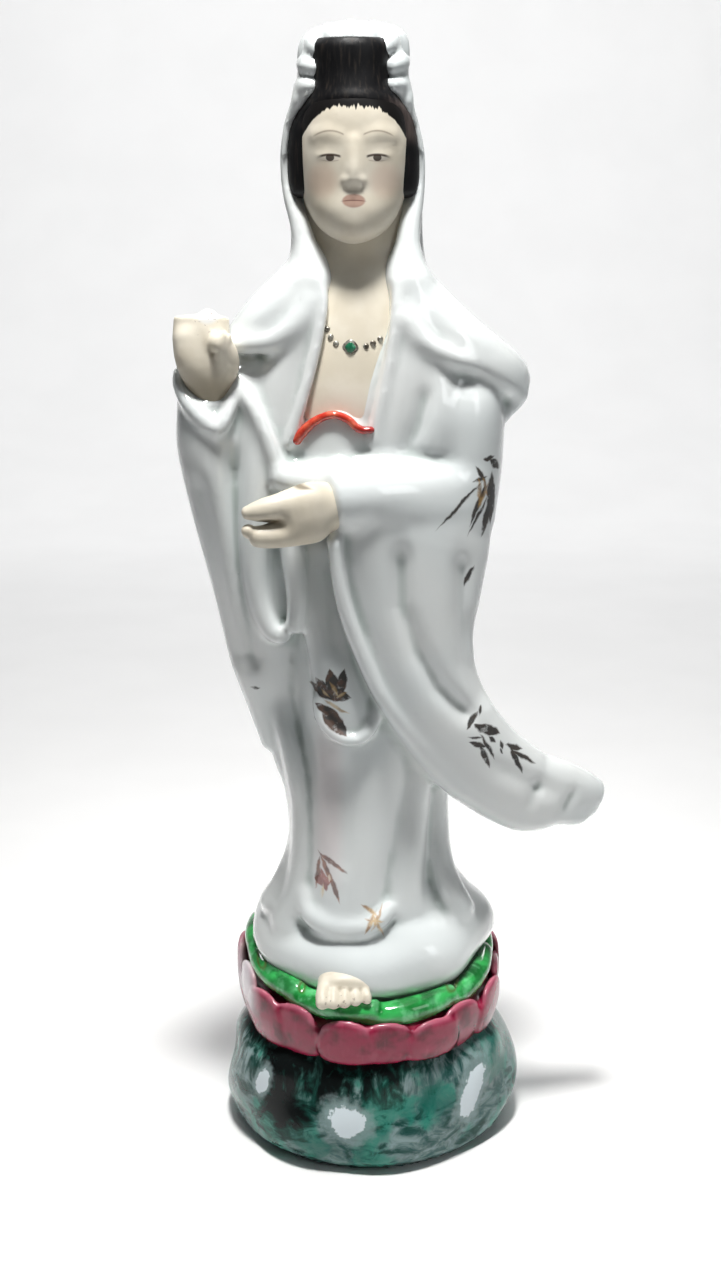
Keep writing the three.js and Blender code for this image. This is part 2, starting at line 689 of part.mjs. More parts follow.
// The right forearm is raised, and its sleeve hangs straight down
function rightArm() {
  const upperArm = [
    [-19, 0.6, 158, 8, 10],
    [-27, -1.6, 148, 9, 11],
    [-32.8, -4.6, 138, 8.8, 10.4],
    [-34, -7, 128, 8, 9],
  ];
  const hanging = [
    [-37.4, -7.2, 150, 7.2, 5.4],
    [-36.8, -9.2, 143.6, 8, 8.6],
    [-36.4, -9, 137, 8.7, 9.8],
    [-35.2, -8.6, 130, 8.8, 10.4],
    [-33, -8, 118, 8.4, 10.4],
    [-30.8, -7.4, 106, 7.7, 10],
    [-28.9, -7, 95, 7.2, 9.2],
    [-27.2, -6, 84, 6.7, 8],
    [-26, -5, 74, 4.8, 6.2],
    [-25.4, -4.4, 66, 2.8, 4.4],
    [-24.8, -4, 60, 1.4, 2.4],
  ];
  const cuff = [
    [-44, -8, 152.8, 1.4, 2.2],
    [-43.4, -12, 150, 1.8, 2.6],
    [-40.4, -16.2, 145.4, 2, 2.4],
    [-35, -18.2, 141.2, 2, 2.2],
    [-32.2, -16.6, 145, 1.5, 2],
    [-30.8, -11.8, 152, 1.3, 1.8],
  ];
  const lip = [
    [-30.8, -11.6, 152, 1.4, 2],
    [-28.4, -14.6, 148, 1.6, 2.4],
    [-26, -15.8, 144.2, 1.8, 2.8],
    [-23.8, -16.6, 139.4, 2, 3],
    [-21.6, -17, 133, 2.2, 3.2],
    [-20, -17, 127, 2.4, 3.2],
  ];
  const innerRolls = [
    [
      [-27.4, -11, 149, 3, 3.4],
      [-25.8, -13.6, 139, 3.6, 4],
      [-26, -15.2, 126, 4, 4.2],
      [-27, -15.4, 112, 3.4, 4],
      [-26, -14.8, 100, 2.8, 3.6],
      [-22.8, -15, 92.6, 2.4, 3.4],
      [-18.6, -16, 91.6, 2.2, 3.2],
    ],
    [
      [-19.6, -15.6, 126, 3, 3.2],
      [-18.2, -16.8, 113, 3, 3.6],
      [-17, -17, 101, 2.6, 3.6],
      [-17.6, -16.4, 92.6, 2.4, 3.2],
    ],
  ];
  const web = [
    [-26, -6, 154, 8, 7],
    [-25.4, -8, 144, 8, 7],
    [-25, -8, 134, 8, 7],
    [-24, -7.6, 114, 7.4, 7],
    [-22, -6.6, 90, 5, 6.4],
    [-20, -4, 62, 3, 4],
  ];
  const folds = [
    { line: [[-40, 132], [-37.4, 118], [-34, 98], [-30, 80]], width: 2.2, depth: 1.2 },
    { line: [[-31.6, 139], [-31, 118], [-29.6, 98], [-27.4, 80]], width: 2.2, depth: 2.6 },
  ];
  return [
    roll(upperArm, { blend: 2.4, startRound: 5, endRound: 5 }),
    roll(hanging, { blend: 2.4, startRound: 3, endRound: 2, folds }),
    roll(cuff, { startRound: 1.2, endRound: 1.2 }),
    roll(lip, { blend: 1.8, startRound: 1.5, endRound: 3 }),
    roll(web, { blend: 4, startRound: 4, endRound: 4 }),
    ...innerRolls.map((stops) => roll(stops, { blend: 2, startRound: 2, endRound: 2 })),
  ];
}

// The tongue of cloth that hangs in front of the skirt, with a turned-up lip
function sashEnd() {
  const stops = [
    [-12.6, -13.6, 116, 4.6, 4],
    [-11.8, -14.8, 102, 5.4, 4.6],
    [-8.8, -16, 89, 6, 5],
    [-6.4, -16.8, 79, 6.8, 5],
    [-5, -17.2, 71.4, 6.6, 4.6],
    [-4.4, -17.2, 66.6, 4.4, 3.4],
  ];
  const lip = [
    [-12.8, -18.8, 78, 1, 1.4],
    [-11.6, -20.4, 72.6, 1.4, 1.8],
    [-7.6, -21.4, 68.6, 1.6, 2],
    [-2.4, -21.4, 68.2, 1.6, 2],
    [0.8, -20, 71.8, 1.4, 1.8],
    [1.6, -18.6, 77, 1, 1.4],
  ];
  const folds = [{ line: [[-10.6, 114], [-9.6, 96], [-7.4, 84]], width: 2.6, depth: 1.8 }];
  return [
    roll(stops, { blend: 1.2, startRound: 4, endRound: 3, folds }),
    roll(lip, { startRound: 1.4, endRound: 1.4 }),
  ];
}

function undergarment() {
  const stops = [
    [-8.2, -12.2, 145, 3.4, 4.4],
    [-8, -12.7, 141.6, 8, 4.8],
    [-8, -13, 138, 11, 5],
    [-8, -13, 128, 11, 5],
  ];
  return roll(stops, { blend: 1.2, startRound: 1.5, endRound: 4 });
}

function redTrim() {
  const stops = [
    [-17.6, -16, 137.2, 1, 1.6],
    [-15.6, -17, 140.2, 1.1, 1.6],
    [-12.6, -17.4, 142.8, 1.1, 1.6],
    [-8.4, -17.6, 144.2, 1.1, 1.6],
    [-4.7, -17.6, 142.8, 1.1, 1.6],
    [-2.4, -17.6, 140.6, 1.1, 1.6],
    [1.2, -17.6, 140.6, 1, 1.6],
  ];
  return roll(stops, { blend: 0.6 });
}

// Head, hair, neck and chest

const headX = -3.8;
const headY = -3.6;

// A plain face in even thirds: eyes half way up the head, nose and mouth below them
function head() {
  const rows = [
    [181.8, headX, headY - 3.6, 2.6, 4, 4],
    [182.8, headX, headY - 3.4, 5, 6.6, 6],
    [185, headX, headY - 2.6, 7.9, 9.2, 9],
    [188.6, headX, headY - 1.4, 10.3, 11.2, 10.6],
    [193.6, headX, headY, 12, 12.2, 12],
    [200, headX, headY, 12.6, 12.4, 13],
    [206, headX, headY, 12.5, 12.2, 13],
    [211, headX, headY, 11.4, 11.6, 12],
    [214.4, headX, headY, 9, 10.2, 10],
    [217, headX, headY, 5, 6, 6],
  ];
  const eyeRow = 200.6;
  const noseTip = 195.4;
  const mouthRow = 191.2;
  const nose = [
    [headX, headY - 10.6, eyeRow + 4, 1.1, 1.4],
    [headX, headY - 11.4, eyeRow - 0.6, 1.2, 1.7],
    [headX, headY - 12, noseTip + 0.8, 1.7, 2.2],
    [headX, headY - 11.6, noseTip - 0.4, 1.6, 1.6],
  ];
  const lid = (side) => [
    [headX + side * 2.7, headY - 11, eyeRow - 0.2, 0.7, 0.8],
    [headX + side * 5.3, headY - 10.2, eyeRow + 0.1, 1.4, 1.3],
    [headX + side * 8, headY - 8.6, eyeRow + 0.1, 0.7, 0.8],
  ];
  const brow = (side) => [
    [headX + side * 2.4, headY - 11.2, eyeRow + 3.6, 0.8, 0.8],
    [headX + side * 5.4, headY - 10.4, eyeRow + 4.6, 0.9, 0.9],
    [headX + side * 8.4, headY - 8.4, eyeRow + 3.8, 0.8, 0.7],
  ];
  const lip = (z, wide, thick) => [
    [headX - wide, headY - 10.2, z, thick * 0.5, 0.9],
    [headX, headY - 11.2, z, thick, 1.3],
    [headX + wide, headY - 10.2, z, thick * 0.5, 0.9],
  ];
  const chin = [[headX - 1.4, headY - 8, 185.6, 2.6], [headX + 1.4, headY - 8, 185.6, 2.6]];
  return [
    column(rows),
    roll(nose, { blend: 1.6, startRound: 1, endRound: 0.8 }),
    ...[-1, 1].flatMap((side) => [
      roll(lid(side), { blend: 0.8, startRound: 0.7, endRound: 0.7 }),
      roll(brow(side), { blend: 2.4, startRound: 0.7, endRound: 0.7 }),
    ]),
    roll(lip(mouthRow + 0.7, 2.6, 0.7), { blend: 0.8 }),
    roll(lip(mouthRow - 0.8, 2.1, 0.8), { blend: 0.8 }),
    limb(chin, { blend: 3 }),
  ];
}

function hair() {
  const rows = [
    [191.4, headX, headY + 1, 13.4, 6, 10],
    [193, headX, headY + 1, 14.6, 8.4, 12],
    [200, headX - 0.1, headY + 1, 15, 9.6, 13],
    [206, headX - 0.2, headY + 1, 14.4, 9.6, 13],
    [209, headX, headY + 0.8, 13.4, 9.4, 13],
    [211.2, headX, headY + 0.4, 12, 10.8, 12.6],
    [213, headX, headY, 10.4, 11.2, 12],
    [215.4, headX - 0.4, headY - 0.2, 8.8, 10.2, 10],
    [218.6, headX - 0.6, headY - 0.4, 8, 9.4, 8],
    [224.4, headX - 0.6, headY - 0.4, 8.2, 9.2, 8],
    [225.8, headX - 0.6, headY - 0.4, 7.4, 8.6, 6],
  ];
  return column(rows);
}

function neckAndChest() {
  const neck = [
    [158, -3.4, -0.5, 12, 10.5, 8],
    [168, -3.4, -0.5, 12, 9.6, 8],
    [175, -3.4, -0.6, 11.4, 8.2, 8],
    [181, -3.8, -0.8, 12, 7.2, 8],
    [187, -3.8, -0.6, 12.4, 6.6, 8],
    [192, -3.8, 0, 12, 5.4, 8],
    [196, -3.8, 1, 10, 4, 8],
  ];
  const chest = [
    [-2.6, -3.6, 176, 8.6, 4],
    [-2.8, -6.6, 169.5, 10, 4.6],
    [-4.2, -9.4, 160, 10.6, 4.8],
    [-6.2, -11.2, 149, 10.6, 4.8],
    [-7.6, -12, 137, 10.6, 4.4],
  ];
  return [column(neck), roll(chest, { blend: 4, startRound: 3, endRound: 2 })];
}

// Hands and foot

// The raised right hand. Its fingers are broken off at the knuckles.
function raisedHand() {
  const palm = [
    [-35, -9.4, 136, 3.6, 3.6],
    [-35.4, -11.2, 142.6, 4, 4],
    [-36.4, -12.6, 148.6, 4.3, 4.4],
    [-37.6, -13.8, 155, 6, 4.6],
    [-38.2, -13.8, 162, 6.4, 4],
    [-38.2, -13.4, 166.2, 6.2, 3.2],
  ];
  const heel = [[-38.6, -14, 149.6, 1.4], [-41.2, -16, 156, 2.4], [-41.8, -15.4, 163, 2.2]];
  const thumb = [
    [-34.4, -13, 149, 2.2],
    [-32.4, -15.8, 155.4, 2.8],
    [-33.6, -18, 160, 2.4],
    [-36.4, -18.2, 160, 1.8],
  ];
  const stump = [[-36.8, -13.4, 164, 2.4], [-36.6, -13.2, 166.6, 2]];
  return [
    roll(palm, { startRound: 2, endRound: 1 }),
    limb(heel, { blend: 2.4 }),
    limb(thumb, { blend: 1.6 }),
    limb(stump, { front: [1, 0, 0] }),
  ];
}

// The left hand, held across the waist with the palm in
function loweredHand() {
  const palm = [
    [-3, -20.6, 124.6, 4.6, 4],
    [-9.6, -24, 124.2, 5.8, 4.6],
    [-14.4, -27, 123.4, 6.6, 4.8],
    [-20.6, -29.2, 122, 5, 3.4],
  ];
  const upperFinger = [
    [-10, -26.4, 127, 3.2],
    [-19, -29.4, 125.6, 3],
    [-24.6, -30.6, 124.6, 2.5],
    [-28.8, -31.2, 124, 1.1],
  ];
  const lowerFinger = [
    [-10, -26, 120.4, 3.2],
    [-19, -29, 119, 3],
    [-24, -30.4, 118.6, 2.6],
    [-27.2, -31, 119, 2.1],
  ];
  const fingertip = [[-27.2, -31, 119.4, 1.9], [-27.6, -31.2, 121.2, 1.2]];
  return [
    roll(palm, { startRound: 2, endRound: 3 }),
    ...[upperFinger, lowerFinger].map((stops) => limb(stops, { blend: 1.6 })),
    limb(fingertip, { blend: 0.6, front: [0, -1, 0] }),
  ];
}

function bareFoot() {
  const sole = [
    [-6.2, -20, 7.4, 5.8, 5],
    [-6.4, -27, 6.8, 6.6, 4.6],
    [-6.4, -31, 5.4, 6.8, 3.4],
  ];
  const toeCount = 5;
  const toes = Array.from({ length: toeCount }, (_, i) => {
    const share = i / (toeCount - 1);
    const x = lerp(-11.4, -1.4, share);
    const tip = lerp(-33.6, -31.6, share * share);
    const radius = lerp(1.9, 1.3, share);
    const stops = [[x, -29, 5.4, radius], [x, tip, 4, radius]];
    return limb(stops, { blend: 0.6, front: [0, 0, 1] });
  });
  return [roll(sole, { startRound: 3, endRound: 2, front: [0, 0, 1] }), ...toes];
}

// Everything together

const clothGrain = 1.8;
const fineGrain = 1;
const facetCount = 9800;

function figure() {
  const cloth = [
    robeBody(),
    ...frontPanel(),
    ...skirtPleats(),
    veil(),
    ...veilRim(),
    ...cape(),
    undergarment(),
    ...lapels(),
    ...leftArm(),
    ...rightArm(),
    ...sashEnd(),
  ];
  return cast(cloth, clothGrain)
    .add(cast(neckAndChest(), clothGrain))
    .add(cast([redTrim()], fineGrain))
    .add(cast(head(), fineGrain))
    .add(cast([hair()], clothGrain))
    .add(cast(raisedHand(), fineGrain))
    .add(cast(loweredHand(), fineGrain))
    .add(cast(bareFoot(), fineGrain))
    .scale(figureScale)
    .translate([0, 0, standHeight]);
}

function pedestal() {
  return cast([rock()], clothGrain)
    .trimByPlane([0, 0, 1], 0)
    .add(cast([lotusCup(), ...petals()], fineGrain * 1.2))
    .add(cast(leaves(), clothGrain));
}

// The outer skin of a solid, with the small pockets between its shapes filled
function filled(solid) {
  const shells = solid.decompose().filter((shell) => shell.volume() > 0);
  return shells.reduce((sum, shell) => sum.add(shell));
}

// Fewer facets for the same shape. The edge whose loss moves the surface least is closed up
// first, and each corner keeps the planes of the facets that it stands for, as a 4 x 4 form.
// Care(point) is how much more a place counts than the rest.
function thinned(solid, facetCount, care) {
  const mesh = solid.getMesh();
  const faces = [];
  for (let i = 0; i < mesh.triVerts.length; i += 3) faces.push([...mesh.triVerts.slice(i, i + 3)]);
  const count = mesh.vertProperties.length / 3;
  const corners = Array.from({ length: count }, (_, i) => ({
    at: [...mesh.vertProperties.slice(i * 3, i * 3 + 3)],
    form: new Float64Array(10),
    faces: new Set(),
    age: 0,
  }));

  const facing = ([ax, ay, az], [bx, by, bz], [cx, cy, cz]) => [
    (by - ay) * (cz - az) - (bz - az) * (cy - ay),
    (bz - az) * (cx - ax) - (bx - ax) * (cz - az),
    (bx - ax) * (cy - ay) - (by - ay) * (cx - ax),
  ];
  faces.forEach((face, index) => {
    const points = face.map((corner) => corners[corner].at);
    const normal = facing(...points);
    const size = Math.hypot(...normal) || 1e-12;
    const weight = size * care(points[0]);
    const [a, b, c] = normal.map((value) => value / size);
    const d = -(a * points[0][0] + b * points[0][1] + c * points[0][2]);
    const plane = [a * a, a * b, a * c, a * d, b * b, b * c, b * d, c * c, c * d, d * d];
    face.forEach((corner) => {
      corners[corner].faces.add(index);
      plane.forEach((value, k) => (corners[corner].form[k] += value * weight));
    });
  });

  const strain = (q, [x, y, z]) =>
    q[0] * x * x + 2 * q[1] * x * y + 2 * q[2] * x * z + 2 * q[3] * x +
    q[4] * y * y + 2 * q[5] * y * z + 2 * q[6] * y +
    q[7] * z * z + 2 * q[8] * z + q[9];

  // The place for two corners closed into one, where their planes nearly meet
  const meeting = (a, b) => {
    const q = a.form.map((value, k) => value + b.form[k]);
    const middle = a.at.map((value, k) => (value + b.at[k]) / 2);
    const [xx, xy, xz, xd, yy, yz, yd, zz, zd] = q;
    const size = xx * (yy * zz - yz * yz) - xy * (xy * zz - yz * xz) + xz * (xy * yz - yy * xz);
    const places = [a.at, b.at, middle];
    if (Math.abs(size) > 1e-6) {
      const best = [
        -(xd * (yy * zz - yz * yz) - xy * (yd * zz - yz * zd) + xz * (yd * yz - yy * zd)) / size,
        -(xx * (yd * zz - zd * yz) - xd * (xy * zz - yz * xz) + xz * (xy * zd - yd * xz)) / size,
        -(xx * (yy * zd - yz * yd) - xy * (xy * zd - yd * xz) + xd * (xy * yz - yy * xz)) / size,
      ];
      const length = Math.hypot(...a.at.map((value, k) => value - b.at[k]));
      if (Math.hypot(...best.map((value, k) => value - middle[k])) < length) places.push(best);
    }
    const costs = places.map((place) => strain(q, place));
    const cost = Math.min(...costs);
    return { cost, place: places[costs.indexOf(cost)] };
  };

  // Edges in order of cost, the cheapest at the front of a binary heap
  const heap = [];
  const push = (entry) => {
    let i = heap.push(entry) - 1;
    while (i && heap[(i - 1) >> 1].cost > entry.cost) {
      heap[i] = heap[(i - 1) >> 1];
      i = (i - 1) >> 1;
    }
    heap[i] = entry;
  };
  const pop = () => {
    const first = heap[0];
    const entry = heap.pop();
    let i = 0;
    while (2 * i + 1 < heap.length) {
      let child = 2 * i + 1;
      if (child + 1 < heap.length && heap[child + 1].cost < heap[child].cost) child += 1;
      if (heap[child].cost >= entry.cost) break;
      heap[i] = heap[child];
      i = child;
    }
    if (heap.length) heap[i] = entry;
    return first;
  };
  const offer = (a, b) => {
    const { cost, place } = meeting(corners[a], corners[b]);
    push({ cost, place, a, b, age: corners[a].age + corners[b].age });
  };
  const neighbours = (corner) =>
    new Set([...corners[corner].faces].flatMap((face) => faces[face]).filter((c) => c !== corner));
  const turnsOver = (corner, other, place) =>
    [...corners[corner].faces].some((face) => {
      if (faces[face].includes(other)) return false;
      const before = faces[face].map((c) => corners[c].at);
      const after = faces[face].map((c) => (c === corner ? place : corners[c].at));
      const [p, q] = [facing(...before), facing(...after)];
      const along = p[0] * q[0] + p[1] * q[1] + p[2] * q[2];
      return along <= 0.25 * Math.hypot(...p) * Math.hypot(...q);
    });

  faces.forEach(([a, b, c]) => {
    if (a < b) offer(a, b);
    if (b < c) offer(b, c);
    if (c < a) offer(c, a);
  });
  let left = faces.length;
  while (left > facetCount && heap.length) {
    const { a, b, place, age } = pop();
    if (!corners[a].faces.size || !corners[b].faces.size) continue;
    if (age !== corners[a].age + corners[b].age) continue;
    const around = neighbours(a);
    const shared = [...neighbours(b)].filter((corner) => around.has(corner));
    if (shared.length !== 2 || turnsOver(a, b, place) || turnsOver(b, a, place)) continue;
    for (const face of corners[b].faces) {
      if (faces[face].includes(a)) {
        faces[face].forEach((corner) => corners[corner].faces.delete(face));
        faces[face] = null;
        left -= 1;
      } else {
        faces[face] = faces[face].map((corner) => (corner === b ? a : corner));
        corners[a].faces.add(face);
      }
    }
    corners[b].faces.clear();
    corners[a].at = place;
    corners[a].age += corners[b].age + 1;
    corners[b].form.forEach((value, k) => (corners[a].form[k] += value));
    neighbours(a).forEach((corner) => offer(a, corner));
  }

  const places = new Map();
  const triVerts = Uint32Array.from(faces.filter(Boolean).flat(), (corner) => {
    if (!places.has(corner)) places.set(corner, places.size);
    return places.get(corner);
  });
  const vertProperties = Float32Array.from([...places.keys()].flatMap((c) => corners[c].at));
  return new wasm.Manifold(new wasm.Mesh({ numProp: 3, vertProperties, triVerts }));
}

function toGeometry(solid) {
  const mesh = solid.getMesh();
  const geometry = new THREE.BufferGeometry();
  geometry.setAttribute("position", new THREE.BufferAttribute(mesh.vertProperties, 3));
  geometry.setIndex(new THREE.BufferAttribute(mesh.triVerts, 1));
  geometry.computeVertexNormals();
  return geometry;
}

const porcelain = new THREE.MeshStandardMaterial({
  color: 0xe9eeee,
  roughness: 0.18,
  metalness: 0,
});

const chin = standHeight + 183 * figureScale;
const care = ([x, y, z]) => (z > chin && y < 0 ? 5 : 1);
const fine = filled(figure().add(pedestal())).simplify(clothGrain * 0.02);
const body = filled(thinned(fine, facetCount, care));
const statue = new THREE.Mesh(toGeometry(body), porcelain);
statue.name = "guanyin_figure";

const group = new THREE.Group();
group.add(statue);
export default group;
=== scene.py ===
import json
import math

import bpy
import numpy as np
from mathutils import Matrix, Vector

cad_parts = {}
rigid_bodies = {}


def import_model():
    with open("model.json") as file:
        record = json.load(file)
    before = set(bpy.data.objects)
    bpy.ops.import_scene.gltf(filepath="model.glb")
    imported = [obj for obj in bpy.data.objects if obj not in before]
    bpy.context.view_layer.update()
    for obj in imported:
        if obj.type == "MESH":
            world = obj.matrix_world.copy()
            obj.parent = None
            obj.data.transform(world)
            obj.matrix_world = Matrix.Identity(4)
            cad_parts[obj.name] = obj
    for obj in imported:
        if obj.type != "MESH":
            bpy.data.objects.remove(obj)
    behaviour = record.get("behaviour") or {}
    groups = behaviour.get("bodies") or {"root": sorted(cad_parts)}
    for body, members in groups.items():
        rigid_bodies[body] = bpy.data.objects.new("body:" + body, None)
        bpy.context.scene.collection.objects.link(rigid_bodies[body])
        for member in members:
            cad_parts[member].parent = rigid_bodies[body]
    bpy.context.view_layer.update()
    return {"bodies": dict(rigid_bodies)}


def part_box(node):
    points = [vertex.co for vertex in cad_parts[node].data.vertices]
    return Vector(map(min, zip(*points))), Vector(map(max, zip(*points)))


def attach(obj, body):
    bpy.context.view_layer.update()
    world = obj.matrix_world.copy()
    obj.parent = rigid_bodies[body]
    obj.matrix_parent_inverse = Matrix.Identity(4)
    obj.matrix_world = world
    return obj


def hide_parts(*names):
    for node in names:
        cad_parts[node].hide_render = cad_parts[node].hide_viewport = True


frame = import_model()
figureNode = "guanyin_figure"
body = next(iter(frame["bodies"]))
nodeLow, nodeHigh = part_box(figureNode)
drawnHeight = 270.1  # the whole figure as it is drawn below
standHeight = 40.0  # the floor under the bare foot, above the table
mm = (nodeHigh.z - nodeLow.z) / drawnHeight
print("frame loaded")

# Camera, lights and floor

view = {
    "eye": (-2.3, -421.0, 243.0),
    "pitch": 15.5,  # degrees down
    "focalPixels": 1785.0,
    "frameHeight": 1280.0,
    "sensor": 36.0,
}

lighting = {
    "ceiling": {
        "at": (-6, -140, 720),
        "aim": (6, -6, 165),
        "size": (90, 90),
        "watts": 0.72,
        "spread": 66,  # degrees
        "colour": (1.0, 0.99, 0.97),
    },
    "overhead": {"at": (0, -30, 660), "aim": (0, 0, 140), "size": (300, 260), "watts": 0.2},
    "window": {
        "at": (380, -420, 420),
        "aim": (0, 0, 150),
        "size": (180, 260),
        "watts": 0.3,
        "colour": (0.97, 0.99, 1.0),
    },
    "backdrop": {"at": (0, 760, 900), "aim": (0, 900, 0), "size": (1400, 260), "watts": 8.5},
}
room = {"colour": (0.97, 0.99, 1.0), "strength": 0.05}

cove = {
    "halfWidth": 3000,
    "front": -2500,
    "bend": 700,
    "radius": 500,
    "height": 2200,
    "steps": 16,
    "paper": ((0.9, 0.9, 0.9), (0.92, 0.92, 0.92)),
}


def scaled(point):
    return Vector(point) * mm


def makeCamera():
    data = bpy.data.cameras.new("camera")
    data.sensor_width = view["sensor"]
    data.lens = view["focalPixels"] / view["frameHeight"] * view["sensor"]
    camera = bpy.data.objects.new("camera", data)
    camera.location = scaled(view["eye"])
    camera.rotation_euler = (math.radians(90 - view["pitch"]), 0, 0)
    bpy.context.scene.collection.objects.link(camera)
    bpy.context.scene.camera = camera


def makeLight(name):
    look = lighting[name]
    data = bpy.data.lights.new(name, "AREA")
    data.shape = "RECTANGLE"
    data.size, data.size_y = (side * mm for side in look["size"])
    data.energy = look["watts"]
    data.color = look.get("colour", (1.0, 1.0, 1.0))
    data.spread = math.radians(look.get("spread", 180))
    lamp = bpy.data.objects.new(name, data)
    lamp.location = scaled(look["at"])
    aim = scaled(look["aim"]) - lamp.location
    lamp.rotation_euler = aim.to_track_quat("-Z", "Y").to_euler()
    bpy.context.scene.collection.objects.link(lamp)


def makeWorld():
    world = bpy.data.worlds.new("studio")
    world.use_nodes = True
    background = world.node_tree.nodes["Background"]
    background.inputs["Color"].default_value = (*room["colour"], 1)
    background.inputs["Strength"].default_value = room["strength"]
    bpy.context.scene.world = world


makeCamera()
for lampName in lighting:
    makeLight(lampName)
makeWorld()
bpy.context.scene.view_settings.view_transform = "Standard"
print("camera and lights set")

# Shapes. Each tells how far a point is outside it, and shapes melt into each other like wet clay.

reach = 5.0  # a shape has no say this far outside its box
columnMelt = 2.5  # how softly a column joins the shapes before it
foremost = -46.0  # ahead of every shape


class Shape:
    def __init__(self, low, high, melt, gap):
        self.low = np.array(low, float)
        self.high = np.array(high, float)
        self.melt = melt
        self.gap = gap


def through(rows):
    # smooth curves through the rows of a table [place, value, value, ...]
    rows = np.array(rows, float)
    last = len(rows) - 1
    slopes = np.array([
        (rows[min(i + 1, last)] - rows[max(i - 1, 0)])
        / (rows[min(i + 1, last)][0] - rows[max(i - 1, 0)][0])
        for i in range(last + 1)
    ])

    def at(places):
        places = np.asarray(places, float)
        i = np.clip(np.searchsorted(rows[:, 0], places) - 1, 0, last - 1)
        span = rows[i + 1, 0] - rows[i, 0]
        t = np.clip((places - rows[i, 0]) / span, 0, 1)
        rise = (t * t * (3 - 2 * t))[:, None]
        bend = (span * t * (1 - t) ** 2)[:, None] * slopes[i]
        bend = bend - (span * t * t * (1 - t))[:, None] * slopes[i + 1]
        return rows[i] + (rows[i + 1] - rows[i]) * rise + bend

    return at


def ovalGap(u, v, w, wide, deep, long):
    a, b, c = u / wide, v / deep, w / long
    size = np.sqrt(a * a + b * b + c * c)
    slope = np.sqrt((a / wide) ** 2 + (b / deep) ** 2 + (c / long) ** 2)
    return np.where(slope > 1e-6, (size - 1) * size / np.maximum(slope, 1e-6), -np.minimum(wide, deep))


def away(x, z, line):
    # how far (x, z) is from a line of points, and how far from the line's nearer end that is
    nearest = np.full(x.shape, 1e9)
    place = np.zeros(x.shape)
    done = 0
    for (ax, az), (bx, bz) in zip(line, line[1:]):
        dx, dz = bx - ax, bz - az
        t = np.clip(((x - ax) * dx + (z - az) * dz) / (dx * dx + dz * dz), 0, 1)
        off = (x - ax - t * dx) ** 2 + (z - az - t * dz) ** 2
        place = np.where(off < nearest, done + t * math.hypot(dx, dz), place)
        nearest = np.minimum(nearest, off)
        done += math.hypot(dx, dz)
    return np.sqrt(nearest), np.minimum(place, done - place)


def press(folds, x, z):
    # how deep the folds (line, width, depth) press in at (x, z), fading at both ends
    total = np.zeros(x.shape)
    for line, width, depth in folds:
        off, end = away(x, z, line)
        fade = np.sin(np.clip(end / (3 * width), 0, 1) * math.pi / 2) ** 2
        total += depth * np.exp(-((off / width) ** 2)) * (0.1 + 0.9 * fade)
    return total


def column(rows, folds=(), backFolds=(), wave=None):
    # level ovals stacked up: [height, middle x, middle y, half width, front, back]
    bottom, top = rows[0][0], rows[-1][0]
    heights = np.arange(bottom, top + 0.5, 0.5)
    levels = through(rows)(np.minimum(heights, top))
    widest = max(max(row[3:]) + math.hypot(row[1], row[2]) for row in rows)

    def gap(points):
        x, y, z = points.T
        midX, midY, side, front, back = (np.interp(z, heights, levels[:, k]) for k in range(1, 6))
        u, v = x - midX, y - midY
        deep = np.where(v < 0, front, back)
        out = ovalGap(u, v, 0, side, deep, 1)
        near = np.abs(out) < reach
        facing = np.clip(-v[near] / deep[near] * 2, -1, 1)
        if folds:
            out[near] += np.maximum(facing, 0) * press(folds, x[near], z[near])
        if backFolds:
            out[near] += np.maximum(-facing, 0) * press(backFolds, x[near], z[near])
        if wave:
            out[near] -= wave(np.arctan2(v[near], u[near]), z[near])
        return np.maximum(out, np.maximum(z - top, bottom - z))

    return Shape((-widest, -widest, bottom), (widest, widest, top), columnMelt, gap)


def turned(vector, axis, degrees):
    angle = math.radians(degrees)
    side = np.cross(axis, vector)
    return vector * math.cos(angle) + side * math.sin(angle) + axis * axis.dot(vector) * (1 - math.cos(angle))


def unit(vector):
    return vector / np.linalg.norm(vector)


